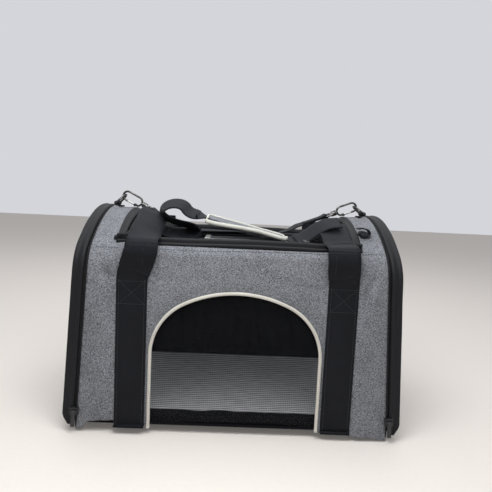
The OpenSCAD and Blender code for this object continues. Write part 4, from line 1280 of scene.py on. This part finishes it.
def cushion(name, hx, hy, low, high, finish, body, seed):
    """A flat pad: crowned top and bottom over a plan with rounded corners."""
    loop = resampled(rounded(-hx, hx, -hy, hy, 16, 1), round(2 * (hx + hy) / 5) * 2)
    mid, half, n = (low + high) / 2, (high - low) / 2, len(loop)
    rings = [0.0, 0.012, 0.03, 0.06, 0.12, 0.22, 0.34, 0.48, 0.62, 0.76, 0.88]
    per, inner = n * len(rings) + 1, n * (len(rings) - 1)
    corners, faces = [], []
    for up in (1, -1):
        for t in rings:
            inset = t * hy
            h = half * (1 - (1 - min(1.0, inset / 7)) ** 2) ** 0.5
            for x, y in ((x * (1 - t), y * (1 - t)) for x, y in loop):
                lump = 1.1 * lumps(x, y, 40, seed + up) * min(1.0, inset / 12) if up > 0 else 0
                corners.append((x, y, mid + up * max(0.2, h) + lump))
        corners.append((0, 0, mid + up * half))
    for start, step in ((0, 1), (per, -1)):
        for a in range(start, start + inner):
            b = a + 1 if (a + 1 - start) % n else a + 1 - n
            faces.append((a, b, b + n, a + n)[::step])
        for j in range(n):
            faces.append((start + inner + j, start + inner + (j + 1) % n, start + per - 1)[::step])
    faces += [(j, per + j, per + (j + 1) % n, (j + 1) % n) for j in range(n)]
    return solid(name, corners, faces, finish, body=body)


fleece = Finish("grey_fleece", 0.95, Sheen_Weight=0.5, Sheen_Roughness=0.6)
tuft = fleece.speckle(380, 4.0, 0.7)
patch = fleece.speckle(28)
fleece.colour((tuft * 0.7 + patch * 0.3).clamp(), (0.58, 0.59, 0.61), (0.88, 0.89, 0.91))
fleece.bump(tuft, 0.0012, 0.8)
pad_piece = cushion("fleece_floor_pad", pad_x, pad_y, pad_low, pad_high, fleece, "bag", 91)
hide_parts("fleece_pad")

board_grain = grained("stiffener_board", 0.6, 1.0, (0.03, 0.03, 0.033), (0.07, 0.07, 0.074), 0.0002, 0.4, 3.0,
                      (40, 900, 200))
refinish(board_grain, "base_board")



def base_at(s, t, low):
    y = blend(3.2 - half_y, half_y - 3.2, t)
    reach = blend(sill_half_x, base_half_x, ease((abs(y) - 104) / 4))
    x = blend(-reach, reach, s)
    web = math.exp(-((abs(x) - web_x) / 15) ** 4)
    sag = 0.9 * (1 - web) * (0.6 + 0.4 * lumps(x, y, 50, 97)) * (1 - abs(y) / 150)
    return x, y, base_z + 0.3 - sag if low else board_z - 0.2


underside = sheet("base_cloth", 64, 36, base_at, black_lining, "bag")
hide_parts("base_panel")


# ---- Small trim placed on the surfaces in view ----
# A ribbed black reinforcement at the hatch's left corner, with pale stitching,
# and at the right corner the end of the zip, curled over under the handle.


image_points = {
    "left_edge": (62, None), "right_edge": (403.4, None), "top": (None, 190.4), "bottom": (None, 441),
    "piping_top": (240, 294.5), "piping_left": (149.5, 361.8), "piping_right": (318.8, 345),
    "patch_front_left": (114.2, 240.2), "patch_back_left": (134.2, 219.8),
    "patch_back_right": (140.8, 223.3), "patch_front_right": (126.7, 240.2),
    "curled_zip_end": (365.2, 236.6), "grip_top_left": (206.7, 216.5), "grip_top_right": (286.5, 236.8),
    "topstitch_left": (160, 250), "topstitch_right": (300, 254),
}


def along_ray(px, py, tree):
    """Where the line of sight through a picture point meets the finished surface."""
    line = (right * (px - picture / 2) + up * (picture / 2 - py)
            + look * picture * camera_lens / camera_sensor).normalized()
    return tree.ray_cast(camera_at, line)[0]


def finished(obj):
    """A piece as it shows: its corners, in metres, and its faces."""
    done = obj.evaluated_get(bpy.context.evaluated_depsgraph_get())
    mesh = done.to_mesh()
    flat = np.empty(len(mesh.vertices) * 3)
    mesh.vertices.foreach_get("co", flat)
    polys = [tuple(p.vertices) for p in mesh.polygons]
    done.to_mesh_clear()
    place = np.array(obj.matrix_world)
    return flat.reshape(-1, 3) @ place[:3, :3].T + place[:3, 3], polys


bpy.context.view_layer.update()
points, polys = [], []
for obj in (shell, end_strips[0], hatch_edge):
    at, found = finished(obj)
    polys += [tuple(len(points) + i for i in face) for face in found]
    points += at.tolist()
roof_cloth = BVHTree.FromPolygons(points, polys)
patch_quad = [along_ray(*image_points["patch_" + corner], roof_cloth) / mm
              for corner in ("front_left", "back_left", "back_right", "front_right")]
patch_up = (patch_quad[3] - patch_quad[0]).cross(patch_quad[1] - patch_quad[0]).normalized()
patch_nu, patch_nv, patch_lift, patch_thick, patch_ribs = 30, 14, 5.2, 4.2, 5


def patch_at(s, t, lift):
    """A point s of the way along the patch, t of the way back and lift above the cloth."""
    flat = patch_quad[0].lerp(patch_quad[3], s).lerp(patch_quad[1].lerp(patch_quad[2], s), t)
    return flat + patch_up * lift


def rib_at(s, t, low):
    return patch_at(s, t, patch_lift + 0.5 * math.sin(patch_ribs * math.pi * s) ** 2 - low * patch_thick)


ribbed_patch = face_out(sheet("ribbed_corner_patch", patch_nu, patch_nv, rib_at, black_binding, "bag"))
pale_thread = grained("pale_thread", 0.6, 1500, (0.26, 0.235, 0.225), (0.42, 0.39, 0.375), 0.0002, 0.5)
seams = [[patch_at(s, blend(0.14, 0.90, j / 8), patch_lift + 0.65) for j in range(9)]
         for s in (0.10, 0.35, 0.60, 0.85)]
stitched("ribbed_patch_stitches", seams, pale_thread, "bag", pitch=2.2, length=2.1, thick=0.45)

curl_centre = along_ray(*image_points["curled_zip_end"], roof_cloth) / mm + Vector((-3.5, -6.0, 4.2))
path = []
for k in range(34):
    a, r, flatten = 0.6 + k * 0.24, 2.6 + 0.26 * k, 0.62
    t = Vector((-math.sin(a), 0, flatten * math.cos(a))).normalized()
    at = curl_centre + Vector((r * math.cos(a), 0.25 * k, r * flatten * math.sin(a)))
    path.append((at, (0, 1, 0), (t.z, 0, -t.x)))
tape_outline = [(-7, 0), (-6.6, 0.8), (6.6, 0.8), (7, 0), (6.6, -0.8), (-6.6, -0.8)]
curled_end = sweep("curled_zip_end", path, tape_outline, zip_tape, "bag")


# ---- Measures: image points ----
# How far each chosen detail shows from its image point, in pixels. The edge, piping and
# grip points were set to where this scene itself shows them, so they don't measure likeness to the
# photograph.


def pictured(points):
    """Where points show in the picture, in its pixels."""
    v = points - np.array(camera_at)
    k = camera_lens / camera_sensor * picture / (v @ np.array(look))
    return np.stack((picture / 2 + v @ np.array(right) * k, picture / 2 - v @ np.array(up) * k), 1)


def middle(points, low, high):
    """The middle, in the picture, of the points inside a box given in millimetres."""
    inside = np.all((points > np.array(low) * mm) & (points < np.array(high) * mm), axis=1)
    return pictured(points[inside]).mean(axis=0)


bpy.context.view_layer.update()
pieces = [o for o in scene.objects if o.type == "MESH" and o != floor and not o.hide_render]
everything = np.vstack([finished(o)[0] for o in pieces])
outline = pictured(everything[everything[:, 2] > 0])
cord, seam, patch, tape = (finished(o)[0] for o in (front_cord, topstitch, ribbed_patch, upper_tape))
patch_rows = pictured(patch).tolist()
tape_left, tape_right = (tape[np.argsort(pictured(tape) @ np.array(way))[:8]]
                         for way in ((1, 0.6), (-1, 0.6)))
far = 999
found = {
    "left_edge": (outline[:, 0].min(), None), "right_edge": (outline[:, 0].max(), None),
    "top": (None, outline[:, 1].min()), "bottom": (None, outline[:, 1].max()),
    "piping_top": middle(cord, (-6, -far, 180), (6, far, far)),
    "piping_left": middle(cord, (-far, -far, 92), (0, far, 100)),
    "piping_right": middle(cord, (0, -far, 122), (far, far, 130)),
    "patch_front_left": patch_rows[0], "patch_back_left": patch_rows[patch_nv],
    "patch_back_right": patch_rows[patch_nu * (patch_nv + 1) + patch_nv],
    "patch_front_right": patch_rows[patch_nu * (patch_nv + 1)],
    "curled_zip_end": middle(finished(curled_end)[0], (-far, -far, -far), (far, far, far)),
    "grip_top_left": pictured(tape_left).mean(axis=0), "grip_top_right": pictured(tape_right).mean(axis=0),
    "topstitch_left": middle(seam, (-104, -far, 0), (-96, 0, far)),
    "topstitch_right": middle(seam, (71, -far, 0), (79, 0, far)),
}
offsets = {name: [None if want is None else round(float(got) - want, 2)
                  for want, got in zip(point, found[name])] for name, point in image_points.items()}
